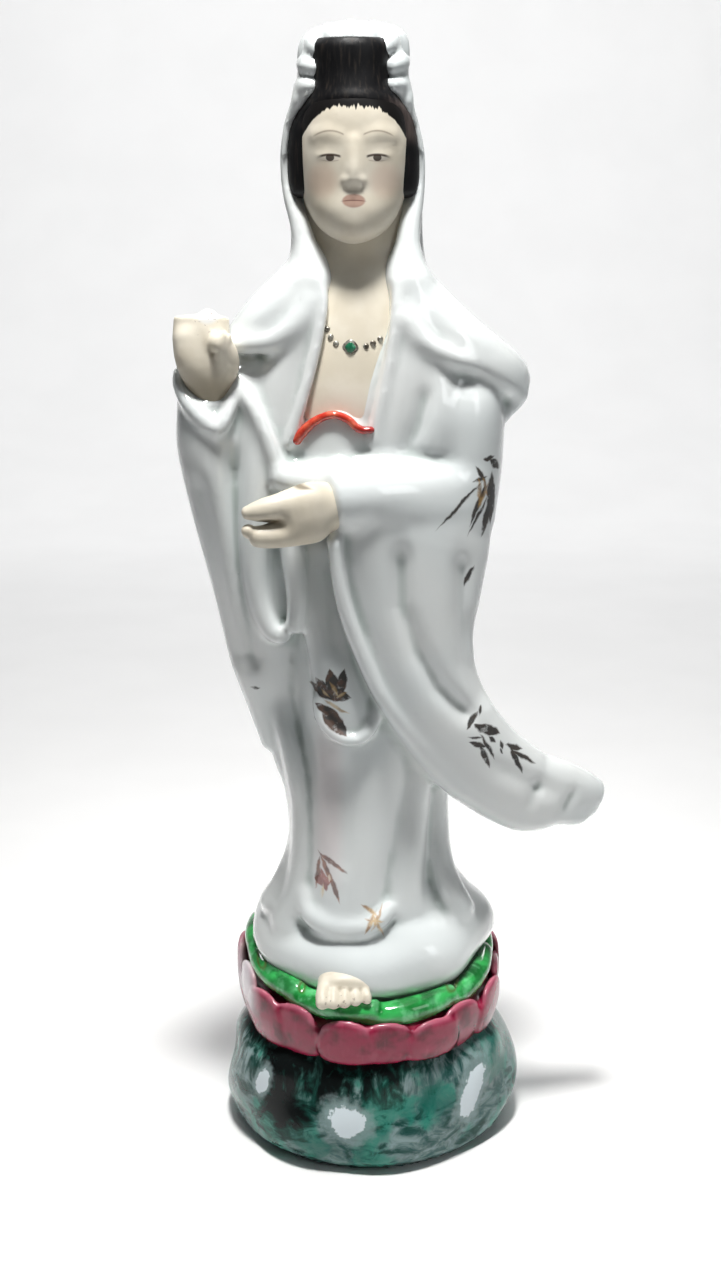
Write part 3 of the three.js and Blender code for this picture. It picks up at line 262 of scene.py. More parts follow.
def roll(stops, melt=1.6, startRound=1.0, endRound=1.0, front=(0, -1, 0), folds=()):
    # a rounded roll through stops [x, y, z, half width, half depth, swing in degrees]
    stops = [list(stop) + [0] * (6 - len(stop)) for stop in stops]
    steps = [math.dist(a[:3], b[:3]) for a, b in zip(stops, stops[1:])]
    places = np.concatenate([[0], np.cumsum(steps)])
    length = places[-1]
    at = through([[place, *stop] for place, stop in zip(places, stops)])
    first = min(startRound, length * 0.45)
    last = length - min(endRound, length * 0.45)
    count = max(2, math.ceil((last - first) / 2)) + 1
    spacing = (last - first) / (count - 1)
    beads = np.zeros((count, 14))  # place, half sizes, then the ways along, ahead and aside
    for i in range(count):
        place = first + i * spacing
        before, here, after = at(np.clip([place - 0.5, place, place + 0.5], 0, length))
        along = unit(after[1:4] - before[1:4])
        ahead = np.array(front, float)
        ahead = turned(unit(ahead - along * ahead.dot(along)), along, at([place])[0][6])
        here = at([place])[0]
        beads[i] = [*here[1:6], *along, *ahead, *np.cross(ahead, along)]
    outer = max(max(stop[3:5]) for stop in stops)

    def gap(points):
        away2 = (beads[:, :3] ** 2).sum(1) - 2 * points @ beads[:, :3].T
        nearest = away2.argmin(1)
        a = beads[nearest]
        offset = ((points - a[:, :3]) * a[:, 5:8]).sum(1)
        other = np.clip(nearest + np.sign(offset).astype(int), 0, count - 1)
        b = beads[other]
        t = np.minimum(np.abs(offset) / spacing, 1)[:, None]
        here = a + (b - a) * t
        span = points - here[:, :3]
        v = (span * here[:, 8:11]).sum(1)
        u = (span * here[:, 11:14]).sum(1)
        past = np.where(other == nearest, offset, 0)
        rounding = np.where(past < 0, startRound, endRound)
        out = ovalGap(u, v, past, here[:, 3], here[:, 4], rounding)
        if folds:
            near = np.abs(out) < reach
            facing = np.clip(v[near] / here[near, 4] * 2, 0, 1)
            out[near] += facing * press(folds, points[near, 0], points[near, 2])
        return out

    low = beads[:, :3].min(0) - outer
    high = beads[:, :3].max(0) + outer
    return Shape(low, high, melt, gap)


def limb(stops, melt=1.0, **options):
    # a round limb through stops [x, y, z, radius]
    rounds = {"startRound": stops[0][3], "endRound": stops[-1][3], **options}
    return roll([[*stop, stop[3]] for stop in stops], melt=melt, **rounds)


def gapOf(shapes, points):
    gap = np.full(len(points), reach)
    for shape in shapes:
        near = np.all((points > shape.low - reach) & (points < shape.high + reach), axis=1)
        other = shape.gap(points[near])
        here = gap[near]
        melt = np.maximum(shape.melt - np.abs(here - other), 0) / shape.melt
        gap[near] = np.minimum(here, other) - melt * melt * shape.melt / 4
    return gap


def frontOf(shapes, x, z):
    # where the front of the shapes is behind (x, z)
    y = np.arange(foremost, 0, 0.1)
    points = np.stack([np.full(y.shape, x), y, np.full(y.shape, z)], axis=1)
    return y[np.flatnonzero(gapOf(shapes, points) < 0)[0]]


# Skins. A fine net is laid over the shapes and drawn smooth, as glaze flows.

tile = 8  # grid points along one side of a block
group = 400  # blocks that are measured at a time
blockReach = 1.25  # the surface passes a block by when it is this many sides from its middle
meltReach = 1.5  # and this much more, for what melting moves


def fieldOf(shapes, grain):
    low = np.min([shape.low for shape in shapes], axis=0) - 3 * grain
    high = np.max([shape.high for shape in shapes], axis=0) + 3 * grain
    blocks = np.ceil((high - low) / (grain * tile)).astype(int)
    centres = np.stack(np.meshgrid(*[np.arange(n) for n in blocks], indexing="ij"), -1).reshape(-1, 3)
    middle = low + (centres + 0.5 - 0.5 / tile) * grain * tile
    rough = gapOf(shapes, middle)
    field = np.broadcast_to(
        np.sign(rough).reshape(blocks[0], 1, blocks[1], 1, blocks[2], 1),
        (blocks[0], tile, blocks[1], tile, blocks[2], tile),
    ).copy()
    near = np.abs(rough) < grain * tile * blockReach + meltReach
    steps = np.stack(np.meshgrid(*[np.arange(tile)] * 3, indexing="ij"), -1).reshape(-1, 3)
    close = centres[near]
    for i in range(0, len(close), group):
        some = close[i:i + group]
        points = low + (some[:, None] * tile + steps) * grain
        gaps = gapOf(shapes, points.reshape(-1, 3)).reshape(len(some), tile, tile, tile)
        field[some[:, 0], :, some[:, 1], :, some[:, 2], :] = gaps
    return field.reshape(blocks * tile), low


def netOf(field, low, grain):
    # one corner in each cell that the surface passes, and one facet across each grid line it cuts
    inside = field < 0
    size = np.array(field.shape) - 1
    count = np.zeros(size, np.int8)
    corners = [(a, b, c) for a in (0, 1) for b in (0, 1) for c in (0, 1)]
    for a, b, c in corners:
        count += inside[a:size[0] + a, b:size[1] + b, c:size[2] + c]
    mixed = (count > 0) & (count < 8)
    cells = np.argwhere(mixed)
    index = np.full(size, -1, np.int32)
    index[mixed] = np.arange(len(cells))
    total = np.zeros((len(cells), 3))
    hits = np.zeros(len(cells))
    for corner in corners:
        for axis in range(3):
            if corner[axis]:
                continue
            start = cells + corner
            stop = start.copy()
            stop[:, axis] += 1
            a, b = field[tuple(start.T)], field[tuple(stop.T)]
            cut = (a < 0) != (b < 0)
            t = np.where(cut, a / np.where(cut, a - b, 1), 0)
            place = np.tile(np.array(corner, float), (len(cells), 1))
            place[:, axis] += t
            total += place * cut[:, None]
            hits += cut
    points = low + (cells + total / hits[:, None]) * grain
    facets = []
    for axis in range(3):
        one, two = (axis + 1) % 3, (axis + 2) % 3
        start = [slice(1, -1)] * 3
        start[axis] = slice(0, -1)
        stop = list(start)
        stop[axis] = slice(1, None)
        a, b = inside[tuple(start)], inside[tuple(stop)]
        edges = np.argwhere(a != b)
        out = a[tuple(edges.T)]
        edges[:, one] += 1
        edges[:, two] += 1
        around = []
        for back in ((0, 0), (1, 0), (1, 1), (0, 1)):
            cell = edges.copy()
            cell[:, one] -= back[0]
            cell[:, two] -= back[1]
            around.append(index[tuple(cell.T)])
        quads = np.stack(around, axis=1)
        quads[~out] = quads[~out, ::-1]
        facets.append(quads)
    return points, np.concatenate(facets)


drawIn, drawOut = 0.5, 0.53  # shares of the way to the middle of a corner's neighbours
creasePull, creaseReach = 0.6, 10.0  # how strongly and how far creases are evened out to find them


class Smoother:
    def __init__(self, quads, count):
        self.start = np.concatenate([quads[:, k] for k in range(4)] * 2)
        self.stop = np.concatenate(
            [quads[:, (k + 1) % 4] for k in range(4)] + [quads[:, (k - 1) % 4] for k in range(4)]
        )
        self.count = count
        self.shares = np.maximum(np.bincount(self.start, minlength=count), 1)

    def mean(self, values):
        return np.stack([
            np.bincount(self.start, values[self.stop, k], self.count) / self.shares
            for k in range(values.shape[1])
        ], axis=1)

    def drawn(self, points, pull, passes):
        for _ in range(passes):
            points = points + pull * (self.mean(points) - points)
        return points

    def softened(self, points, passes):
        # each pass draws the corners in, then a little back out
        for _ in range(passes):
            points = self.drawn(points, drawIn, 1)
            points = self.drawn(points, -drawOut, 1)
        return points


def normalsOf(points, quads):
    a, b, c, d = (points[quads[:, k]] for k in range(4))
    facing = np.cross(c - a, d - b)
    total = np.zeros_like(points)
    for k in range(3):
        total[:, k] = np.bincount(quads.ravel(), np.repeat(facing[:, k], 4), len(points))
    return total / np.maximum(np.linalg.norm(total, axis=1), 1e-9)[:, None]


def makeMesh(name, points, facets, hollow=None):
    mesh = bpy.data.meshes.new(name)
    mesh.from_pydata((points * mm).tolist(), [], facets.tolist())
    mesh.polygons.foreach_set("use_smooth", np.ones(len(facets), bool))
    if hollow is not None:
        mesh.attributes.new("hollow", "FLOAT", "POINT").data.foreach_set("value", hollow.astype(np.float32))
    mesh.update()
    piece = bpy.data.objects.new(name, mesh)
    bpy.context.scene.collection.objects.link(piece)
    return piece


coarser = 1.0


def skin(name, shapes, grain, soft=3, lift=standHeight):
    # shapes to one smooth mesh. Hollow says how far a point lies in a crease, in millimetres.
    grain *= coarser
    field, low = fieldOf(shapes, grain)
    points, quads = netOf(field, low, grain)
    smoother = Smoother(quads, len(points))
    points = smoother.softened(points, soft)
    spread = smoother.drawn(points, creasePull, max(4, int(creaseReach / grain)))
    hollow = ((spread - points) * normalsOf(points, quads)).sum(1)
    points[:, 2] += lift
    print(f"{name}: {len(quads) * 2} triangles")
    return makeMesh(name, points, quads, hollow)


# Paint. A Value wraps a socket, so that sums on it add nodes.


class Value:
    def __init__(self, paint, socket):
        self.paint = paint
        self.socket = socket

    def math(self, operation, *others, clamp=False):
        settings = {"operation": operation, "use_clamp": clamp}
        inputs = dict(enumerate((self, *others)))
        return self.paint.node("Math", settings, inputs)

    def __add__(self, other):
        return self.math("ADD", other)

    __radd__ = __add__

    def __sub__(self, other):
        return self.math("SUBTRACT", other)

    def __rsub__(self, other):
        return self.math("MULTIPLY_ADD", -1.0, other)

    def __mul__(self, other):
        return self.math("MULTIPLY", other)

    __rmul__ = __mul__

    def __truediv__(self, other):
        return self.math("DIVIDE", other)

    def __pow__(self, other):
        return self.math("POWER", other)

    def __abs__(self):
        return self.math("ABSOLUTE")

    def most(self, other):
        return self.math("MAXIMUM", other)

    def root(self):
        return self.math("SQRT")

    def ramp(self, low, high, start=0.0, stop=1.0):
        # eases from start to stop as the value goes from low to high
        settings = {"interpolation_type": "SMOOTHSTEP"}
        inputs = {"Value": self, "From Min": low, "From Max": high, "To Min": start, "To Max": stop}
        return self.paint.node("MapRange", settings, inputs)


def strongest(marks):
    # the marks laid over each other
    total, *others = marks
    for mark in others:
        total = total.most(mark)
    return total


def ovalShare(u, v, wide, tall):
    # 0 in the middle of an oval and 1 on its edge
    return (u / wide) ** 2 + (v / tall) ** 2


class Paint:
    def __init__(self, name):
        self.material = bpy.data.materials.new(name)
        self.material.use_nodes = True
        self.tree = self.material.node_tree
        self.tree.nodes.clear()
        place = self.node("TexCoord", output="Object")
        self.place = self.node("VectorMath", {"operation": "SCALE"}, {0: place, "Scale": 1 / mm})
        self.x, self.y, height = (
            self.node("SeparateXYZ", inputs={0: self.place}, output=k) for k in range(3)
        )
        self.z = height - standHeight  # up from the floor under the foot

    def node(self, kind, settings=None, inputs=None, output=0):
        made = self.tree.nodes.new("ShaderNode" + kind)
        for key, value in (settings or {}).items():
            setattr(made, key, value)
        for key, value in (inputs or {}).items():
            socket = made.inputs[key]
            if isinstance(value, Value):
                self.tree.links.new(value.socket, socket)
            elif socket.type == "RGBA" and len(value) == 3:
                socket.default_value = (*value, 1)
            else:
                socket.default_value = value
        return Value(self, made.outputs[output])

    def mix(self, share, under, over):
        inputs = {0: share, 6: under, 7: over}
        return self.node("Mix", {"data_type": "RGBA"}, inputs, output=2)

    def noise(self, size, detail=3.0, rough=0.5, stretch=(1, 1, 1), shift=(0, 0, 0), swirl=0.0):
        # a value around 0.5 that changes over about this many millimetres
        spot = self.node("Mapping", inputs={0: self.place, "Scale": stretch, "Location": shift})
        inputs = {
            "Vector": spot,
            "Scale": 1 / size,
            "Detail": detail,
            "Roughness": rough,
            "Distortion": swirl,
        }
        return self.node("TexNoise", inputs=inputs)

    def hollow(self):
        return self.node("Attribute", {"attribute_name": "hollow"}, output="Fac")

    def stroke(self, start, stop, width, soft):
        # one brush stroke, pointed at both ends, in front of (x, z)
        (ax, az), (bx, bz) = start, stop
        square = (bx - ax) ** 2 + (bz - az) ** 2
        length = math.sqrt(square)
        along = self.line((bx - ax) / square, (bz - az) / square, ax, az)
        across = self.line((bz - az) / length, (ax - bx) / length, ax, az)
        swell = along * (1 - along) * (2 * width)
        return (swell - abs(across)).math("MULTIPLY_ADD", 1 / soft, 0.5, clamp=True)

    def line(self, alongX, alongZ, x, z):
        # how far a place lies from (x, z) along one direction
        upward = self.z.math("MULTIPLY_ADD", alongZ, -(x * alongX + z * alongZ))
        return self.x.math("MULTIPLY_ADD", alongX, upward)

    def strokes(self, rows, soft):
        return strongest([self.stroke(*row, soft) for row in rows])

    def spot(self, x, z, radius, soft):
        far = ovalShare(self.x - x, self.z - z, 1, 1).root()
        return (radius - far).math("MULTIPLY_ADD", 1 / soft, 0.5, clamp=True)

    def spots(self, rows):
        # soft round patches (x, z, radius), strongest in their middle
        return strongest([self.spot(x, z, radius / 2, radius) for x, z, radius in rows])

    def finish(self, colour, roughness, bump=None, **constants):
        inputs = {"Base Color": colour, "Roughness": roughness}
        for key, value in constants.items():
            inputs[key.replace("_", " ")] = value
        if bump is not None:
            height, distance, strength = bump
            bumpInputs = {"Height": height, "Distance": distance * mm, "Strength": strength}
            inputs["Normal"] = self.node("Bump", inputs=bumpInputs)
        shader = self.node("BsdfPrincipled", inputs=inputs)
        output = self.tree.nodes.new("ShaderNodeOutputMaterial")
        self.tree.links.new(shader.socket, output.inputs["Surface"])
        return self.material


def dress(piece, material):
    piece.data.materials.append(material)
    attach(piece, body)
    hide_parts(figureNode)


# Rock

rockSizes = {
    "halfWidth": 32.5,
    "halfDepth": 31.6,
    "height": 31.0,
    "swell": 4.8,
    "topRadius": 28.0,
    "lumps": 0.9,
    "flatBelow": 0.35,  # the underside is pressed flat
    "grain": 0.75,
}


def rockShape():
    size = rockSizes
    wide, deep, tall, swell = size["halfWidth"], size["halfDepth"], size["height"], size["swell"]
    top = size["topRadius"]

    def row(height, out, outDeep):
        return [height, 0, 0, wide + out, deep + outDeep, deep + outDeep]

    rows = [
        row(-3, -2, -2),
        row(0, 0, 0),
        row(tall * 0.1, swell * 0.72, swell * 0.6),
        row(tall * 0.34, swell, swell * 0.8),
        row(tall * 0.62, swell * 0.66, swell * 0.5),
        row(tall * 0.8, swell * 0.2, swell * 0.2),
        [tall, 0, 0, top, top, top],
        [tall + 2, 0, 0, top - 2, top - 2, top - 2],
    ]

    def lumps(angle, z):
        rise = np.clip(z / (tall * 0.15), 0, 1)
        return size["lumps"] * rise * (np.sin(3 * angle + 0.12 * z) + np.sin(7 * angle - 0.3 * z) * 0.6)

    shape = column(rows, wave=lumps)
    roundGap = shape.gap
    shape.gap = lambda points: np.maximum(roundGap(points), -points[:, 2])
    return shape


# The washes on the rock: where they are black, teal or wiped thin as (x, z, radius), and the
# white patches as (x, z, half width, half height, lean)
rockWash = {
    "blackAt": [
        (-20, -14, 13),
        (-9, -15, 13),
        (-21, -25, 9),
        (3, -12, 12),
        (14, -8, 10),
        (21, -4, 9),
        (-27, -8, 12),
    ],
    "tealAt": [(13, -23, 9), (32, -18, 8), (-15, -32, 9), (0, -37, 8), (-26, -30, 9), (2, -26, 7)],
    "thinAt": [(9.8, -17, 5), (19, -15, 7), (-29, -18, 6), (14, -33, 12), (28, -28, 8), (-9, -27, 6)],
    "whitePatchAt": [(-5.6, -25.6, 4.4, 3.6, -0.3), (25.4, -22.8, 2.6, 6.4, 0.25), (-26.6, -20.6, 1.5, 3.2, 0.3)],
    "grey": ((0.03, 0.095, 0.088), (0.24, 0.33, 0.33)),
    "teal": ((0.008, 0.12, 0.09), (0.02, 0.24, 0.17)),
    "green": (0.005, 0.045, 0.034),
    "black": (0.005, 0.007, 0.007),
    "halo": (0.27, 0.36, 0.36),
    "whitePatch": (0.68, 0.76, 0.80),
}


def rockPaint():
    # black and teal washes wiped over white glaze, with white patches
    paint = Paint("rockGlaze")
    broad = paint.noise(15, detail=3, rough=0.5, swirl=0.6)
    wiped = paint.noise(5.5, detail=5, rough=0.62, stretch=(1, 1, 1.9), shift=(4, 9, 2), swirl=0.8)
    upright = paint.noise(4, detail=4, rough=0.6, stretch=(1.5, 1.5, 0.5), shift=(7, 2, 5), swirl=0.5)
    strokes = wiped + (upright - wiped) * paint.z.ramp(-26, -18)
    thin = paint.spots(rockWash["thinAt"])
    # grey first, and teal where the wash lies thick
    colour = paint.mix(strokes.ramp(0.38, 0.68), *rockWash["grey"])
    cover = paint.noise(9, detail=4, rough=0.55, shift=(1, 5, 9), swirl=0.5) + strokes * 0.5 - thin * 0.16
    covered = (cover + paint.spots(rockWash["tealAt"]) * 0.26).ramp(0.7, 0.9)
    teal = paint.mix(broad.ramp(0.4, 0.6), *rockWash["teal"])
    colour = paint.mix(covered * 0.8, colour, teal)
    # dark green and black in the runs, and a little darker towards the left
    dark = broad * 0.8 - strokes * 1.9 + paint.spots(rockWash["blackAt"]) * 0.72 - thin * 0.25
    dark = dark + paint.x.ramp(4, -22, 0.66, 0.74)
    colour = paint.mix(dark.ramp(0.1, 0.45) * 0.9, colour, rockWash["green"])
    colour = paint.mix(dark.ramp(0.36, 0.74), colour, rockWash["black"])
    # white patches in front, with a pale ragged edge
    ragged = paint.noise(2.6, detail=4, rough=0.6) * 1.5 - 0.75
    patches = []
    for x, z, wide, tall, lean in rockWash["whitePatchAt"]:
        v = paint.z - z
        patches.append(ovalShare(paint.x - x - v * lean, v, wide, tall).root() + ragged)
    front = paint.y.ramp(-10, -14)
    halo = strongest([far.ramp(1.9, 1.1) for far in patches])
    whitePatch = strongest([far.ramp(1.08, 0.92) for far in patches])
    colour = paint.mix(halo * front * 0.7, colour, rockWash["halo"])
    colour = paint.mix(whitePatch * front, colour, rockWash["whitePatch"])
    rough = broad.ramp(0.3, 0.7, 0.16, 0.26)
    bump = (paint.noise(2.6, detail=2), 0.25, 0.12)
    return paint.finish(colour, rough, bump, Specular_IOR_Level=0.2, Coat_Weight=0.04, Coat_Roughness=0.06)


rock = skin("rock", [rockShape()], rockSizes["grain"], lift=0)
for vertex in rock.data.vertices:
    if vertex.co.z < rockSizes["flatBelow"] * mm:
        vertex.co.z = 0
dress(rock, rockPaint())

# Lotus

lotus = {
    "petalRing": 31.5,
    "leafRing": 28.6,
    "petals": 18,
    "length": 17.2,
    "dip": 5.2,  # how much lower the petals lie in front
    "leafDip": 5.8,
    "leafLift": 3.4,
    "tilt": 1.4,  # how much lower both lie towards the left sleeve
    "thickness": 3.2,
    "lean": 2.4,
    "over": (-0.3, 0.5),  # every other petal lies further out
    "leaves": 9,
    "leafThickness": 6.4,
    "leafWidth": 6.8,
    "grain": 0.55,
    "rose": ((0.13, 0.003, 0.018), (0.31, 0.012, 0.052)),
    "roseCreaseShade": (0.13, 0.006, 0.024),
    "roseStreak": (0.45, 0.04, 0.1),
    "roseRimHighlight": (0.62, 0.19, 0.27),
    "rosePale": (0.74, 0.66, 0.7),  # the petal at the raised hand's side is nearly bare
    "green": ((0.006, 0.2, 0.028), (0.04, 0.46, 0.1)),
    "greenThin": (0.2, 0.68, 0.32),
    "greenCreaseShade": (0.003, 0.055, 0.01),
    "greenInner": (0.003, 0.07, 0.012),
    "greenRimHighlight": (0.24, 0.66, 0.36),
    "ringMarks": [(20.3, 5.2, 1.9), (-16.6, 5.1, 1.0), (-26.9, 7.4, 1.3)],  # (x, z, radius)
    "ringColour": (0.09, 0.1, 0.02),
}


def ringPoint(radius, angle, z):
    return [radius * math.sin(angle), -radius * math.cos(angle), z]


def lowered(dip, angle):
    # the lotus dips in front and leans a little to one side
    return dip * max(math.cos(angle), -0.25) + lotus["tilt"] * math.sin(angle)


def lotusCup():
    foot = rockSizes["topRadius"] - 1
    petalRing, leafRing = lotus["petalRing"], lotus["leafRing"]
    rows = [
        [rockSizes["height"] - 4, 0, 0, foot, foot, foot],
        [standHeight - 9, 0, 0, petalRing - 0.9, petalRing - 0.9, petalRing - 0.9],
        [standHeight - 5, 0, 0, petalRing + 0.5, petalRing + 0.5, petalRing],
        [standHeight - 2.4, 0, 0, petalRing + 0.2, petalRing + 0.2, petalRing],
        [standHeight, 0, 0, leafRing - 2, leafRing - 2, leafRing],
    ]
    return column(rows)


def petalShapes():
    halfWidth = 2 * math.pi * lotus["petalRing"] / lotus["petals"] * 0.66
    foot = standHeight + 4.8 - lotus["length"]
    shapes = []
    for i in range(lotus["petals"]):
        angle = 2 * math.pi * (i + 0.35 + 0.12 * math.sin(2.3 * i)) / lotus["petals"]
        over = lotus["over"][i % 2]
        length = lotus["length"] - lowered(lotus["dip"], angle) + 0.6 * math.sin(4.1 * i)
        stops = []
        for up in (0, 0.25, 0.5, 0.75, 1):
            out = lotus["lean"] * up * up + 1.4 * math.sin(math.pi * up) - 1.6
            wide = halfWidth * math.sqrt(1 - 0.7 * up ** 3) * (0.8 + 0.2 * min(1, up * 3))
            deep = lotus["thickness"] / 2 * (1 - 0.3 * up)
            place = ringPoint(lotus["petalRing"] + out + over, angle, foot + length * up)
            stops.append([*place, wide, deep])
        shapes.append(roll(stops, melt=1.2, startRound=2, endRound=3, front=ringPoint(1, angle, 0)))
    return shapes


def leafShapes():
    half, broad = lotus["leafThickness"] / 2, lotus["leafWidth"] / 2
    shapes = []
    for i in range(lotus["leaves"]):
        stops = []
        for share in (-0.66, -0.3, 0, 0.3, 0.66):
            angle = 2 * math.pi * (i + 0.5 + share) / lotus["leaves"]
            plump = 1 - 0.35 * abs(share) ** 1.5
            height = standHeight + lotus["leafLift"] + half * (0.9 + 0.4 * share)
            height -= lowered(lotus["leafDip"], angle)
            place = ringPoint(lotus["leafRing"] + 0.4 * share, angle, height)
            stops.append([*place, broad * plump, half * plump])
        shapes.append(roll(stops, melt=0.5, startRound=2, endRound=2, front=(0, 0, 1)))
    return shapes


def petalPaint():
    paint = Paint("roseEnamel")
    crease = paint.hollow()
    mottle = paint.noise(5, detail=3)
    colour = paint.mix(mottle.ramp(0.35, 0.6), *lotus["rose"])
    # painted shade in the creases of the petals
    colour = paint.mix(crease.ramp(0.02, 0.5), colour, lotus["roseCreaseShade"])
    streaks = paint.noise(2.4, detail=3, stretch=(1.6, 1.6, 0.35), shift=(3, 1, 8))
    colour = paint.mix(streaks.ramp(0.5, 0.8) * 0.4, colour, lotus["roseStreak"])
    # a painted highlight on the ridges near the rim
    paintedRimHighlight = crease.ramp(-0.1, -0.4) * paint.z.ramp(-6, -2)
    colour = paint.mix(paintedRimHighlight * 0.6, colour, lotus["roseRimHighlight"])
    pale = paint.x.ramp(-26.5, -31.0) * paint.z.ramp(-7.5, -2.5) * paint.y.ramp(3, -5)
    colour = paint.mix(pale, colour, lotus["rosePale"])
    bump = (paint.noise(3), 0.2, 0.1)
    return paint.finish(colour, 0.24, bump, Coat_Weight=0.2, Coat_Roughness=0.06)


def leafPaint():
    paint = Paint("greenEnamel")
    crease = paint.hollow()
    pool = paint.noise(6.5, detail=3, swirl=0.5)
    colour = paint.mix(pool.ramp(0.36, 0.6), *lotus["green"])
    thin = paint.noise(3.4, detail=3, shift=(5, 2, 1)).ramp(0.52, 0.68) * crease.ramp(0.1, -0.3)
    colour = paint.mix(thin * 0.7, colour, lotus["greenThin"])
    # painted shade in the creases of the leaves
    colour = paint.mix(crease.ramp(0.0, 0.35), colour, lotus["greenCreaseShade"])
    # darker towards the robe, but not beside the foot
    ring = lotus["leafRing"]
    inner = ovalShare(paint.x, paint.y, 1, 1).root().ramp(ring + 4.2, ring + 0.8)
    aside = abs(paint.x + 3).ramp(12, 20)
    colour = paint.mix(inner * pool.ramp(0.62, 0.42) * aside * 0.9, colour, lotus["greenInner"])
    # a painted highlight on the ridges of the leaves
    colour = paint.mix(crease.ramp(-0.12, -0.4) * 0.35, colour, lotus["greenRimHighlight"])
    for x, z, radius in lotus["ringMarks"]:
        mark = paint.spot(x, z, radius, 0.5) - paint.spot(x, z, radius - 0.55, 0.5)
        colour = paint.mix(mark * 0.75, colour, lotus["ringColour"])
    bump = (paint.noise(2.5), 0.2, 0.12)
    return paint.finish(colour, 0.1, bump, Coat_Weight=0.8, Coat_Roughness=0.04)


petals = skin("lotusPetals", [lotusCup(), *petalShapes()], lotus["grain"], lift=0)
dress(petals, petalPaint())
leaves = skin("lotusLeaves", leafShapes(), lotus["grain"], lift=0)
dress(leaves, leafPaint())
print("lotus and rock built")

# Robe

robe = {
    "grain": 0.8,
    "hem": 31.0,
    "glaze": ((0.74, 0.785, 0.79), (0.79, 0.815, 0.81)),
    # glaze pooled in the creases, and painted shade there
    "crease": (0.36, 0.43, 0.405),
    "blushAndPaintedReflection": (0.62, 0.44, 0.46),
    "brushShake": 1.3,  # how far a stroke's edge strays
}

backFolds = [
    ([(-17, 154), (-14, 110), (-15, 56)], 3.2, 2),
    ([(-6, 162), (-4, 110), (-5, 40)], 3, 2.2),
    ([(7, 162), (5, 110), (7, 36)], 3, 2.2),
    ([(19, 154), (15, 110), (16, 50)], 3.2, 2),
]


def robeBody():
    rows = [
        [0, 0.4, 0, robe["hem"] - 7, 23, 22],
        [2, 0.4, 0, robe["hem"] - 5.6, 25, 24],
        [5, 0.2, 0, robe["hem"] - 3.4, 27.6, 26],
        [9, 0.2, 0, robe["hem"] - 0.8, 27.4, 27.2],
        [13, 0.2, 0, robe["hem"] - 0.3, 25.6, 26.6],
        [17.5, 0.4, 0.2, robe["hem"] - 1.9, 22, 25],
        [21.5, 0.4, 0.3, 25.2, 17.8, 22.4],
        [26, 0, 0.5, 22.2, 16.6, 19.8],
        [32, 0.4, 0.5, 19.5, 16.2, 18],
        [40, -0.2, 0.5, 19.2, 16.6, 17.4],
        [52, -1, 0.5, 19.8, 16.8, 17.5],
        [64, -1.8, 0.5, 21.2, 17.2, 18],
        [82, -1.5, 0.5, 22, 17.4, 18.5],
        [102, -0.5, 1, 22.5, 17.4, 18.5],
        [120, 0.5, 1.5, 22.5, 17.4, 18],
        [135, 0.8, 1.5, 22.8, 17.4, 17],
        [148, 0.5, 1.8, 23.5, 17, 16],
        [158, -1, 2, 21, 15, 14],
        [166, -2, 2, 14, 11, 11],
    ]
    folds = [
        ([(-21.4, 84), (-18.2, 70), (-17, 58), (-17.6, 40), (-21, 24)], 1.8, 1.6),
        ([(14.4, 66), (14.6, 44), (16, 28), (20, 18)], 1.8, 1.6),
    ]

    def hemWaves(angle, z):
        return 1.1 * np.exp(-(((z - 12) / 8) ** 2)) * np.sin(7 * angle + 0.12 * z)

    return column(rows, folds=folds, backFolds=backFolds, wave=hemWaves)


def frontPanel():
    panel = [
        [-6.4, -9.8, 100, 11, 9],
        [-4.4, -10, 80, 12, 9.6],
        [-2.4, -10.2, 62, 12.4, 10],
        [-3.4, -10.4, 46, 11.4, 10.2],
        [-4.8, -11.8, 33, 10.2, 10.2],
        [-5.4, -13.8, 24.6, 9.8, 9],
        [-5.6, -14.6, 19, 9.4, 8],
        [-5.6, -15.8, 14, 9, 6.2],
    ]
    shallow = [([(-6.6, 66), (-6.4, 30)], 2.8, 0.9)]
    hemRoll = [
        [-15.8, -14.7, 27, 1.8, 2.4],
        [-15, -18.1, 22.4, 2.3, 2.8],
        [-9.6, -21.1, 19.8, 2.4, 2.9],
        [-3, -21.9, 19.6, 2.3, 2.9],
        [2, -20.6, 21, 2.1, 2.7],
        [5.4, -18, 24, 1.8, 2.2],
    ]
    footFold = [
        [-21.4, -13, 13, 3.2, 2.8],
        [-13.4, -20.4, 10.6, 3.4, 3],
        [-3, -23.8, 9.4, 3.8, 3.4],
        [8, -21, 10.6, 3.4, 3.2],
        [17, -15, 13, 3, 2.8],
    ]
    return [
        roll(panel, startRound=9, endRound=3, folds=shallow),
        roll(hemRoll, melt=3.2, startRound=2, endRound=2, front=(0, -1, 0.4)),
        roll(footFold, melt=4, startRound=3, endRound=3, front=(0, -1, 0.6)),
    ]


def skirtPleats():
    pleats = [
        [
            [12, -10, 72, 3.6, 4.6],
            [11.2, -10.2, 54, 3.8, 4.6],
            [9.6, -11.2, 40, 4.2, 4.6],
            [8, -13.4, 28, 4.8, 4.4],
            [8, -15.4, 19, 5.4, 3.2],
        ],
        [
            [16.8, -4.8, 62, 3, 4],
            [16.6, -5.6, 44, 2.8, 4],
            [18, -7.8, 30, 3.2, 4.2],
            [23, -10.4, 17, 4.4, 3.4],
        ],
        [
            [-22.4, -5.4, 73, 2.6, 4.8],
            [-18.8, -9, 60, 2.8, 5.2],
            [-16.8, -9.8, 45, 2.5, 5.2],
            [-17.6, -12.6, 28, 3, 4.2],
            [-21.4, -14.6, 15, 4, 3],
        ],
        [
            [-22, -3.6, 66, 3, 4],
            [-21, -4.2, 58, 2.8, 4.4],
            [-18.4, -5, 50, 2.4, 4.2],
            [-17.6, -5.6, 38, 2.4, 4],
            [-20.6, -7.6, 27, 3.2, 4],
            [-24.8, -9.6, 18, 4.6, 4],
        ],
    ]
    return [roll(stops, melt=3, startRound=3, endRound=3) for stops in pleats]


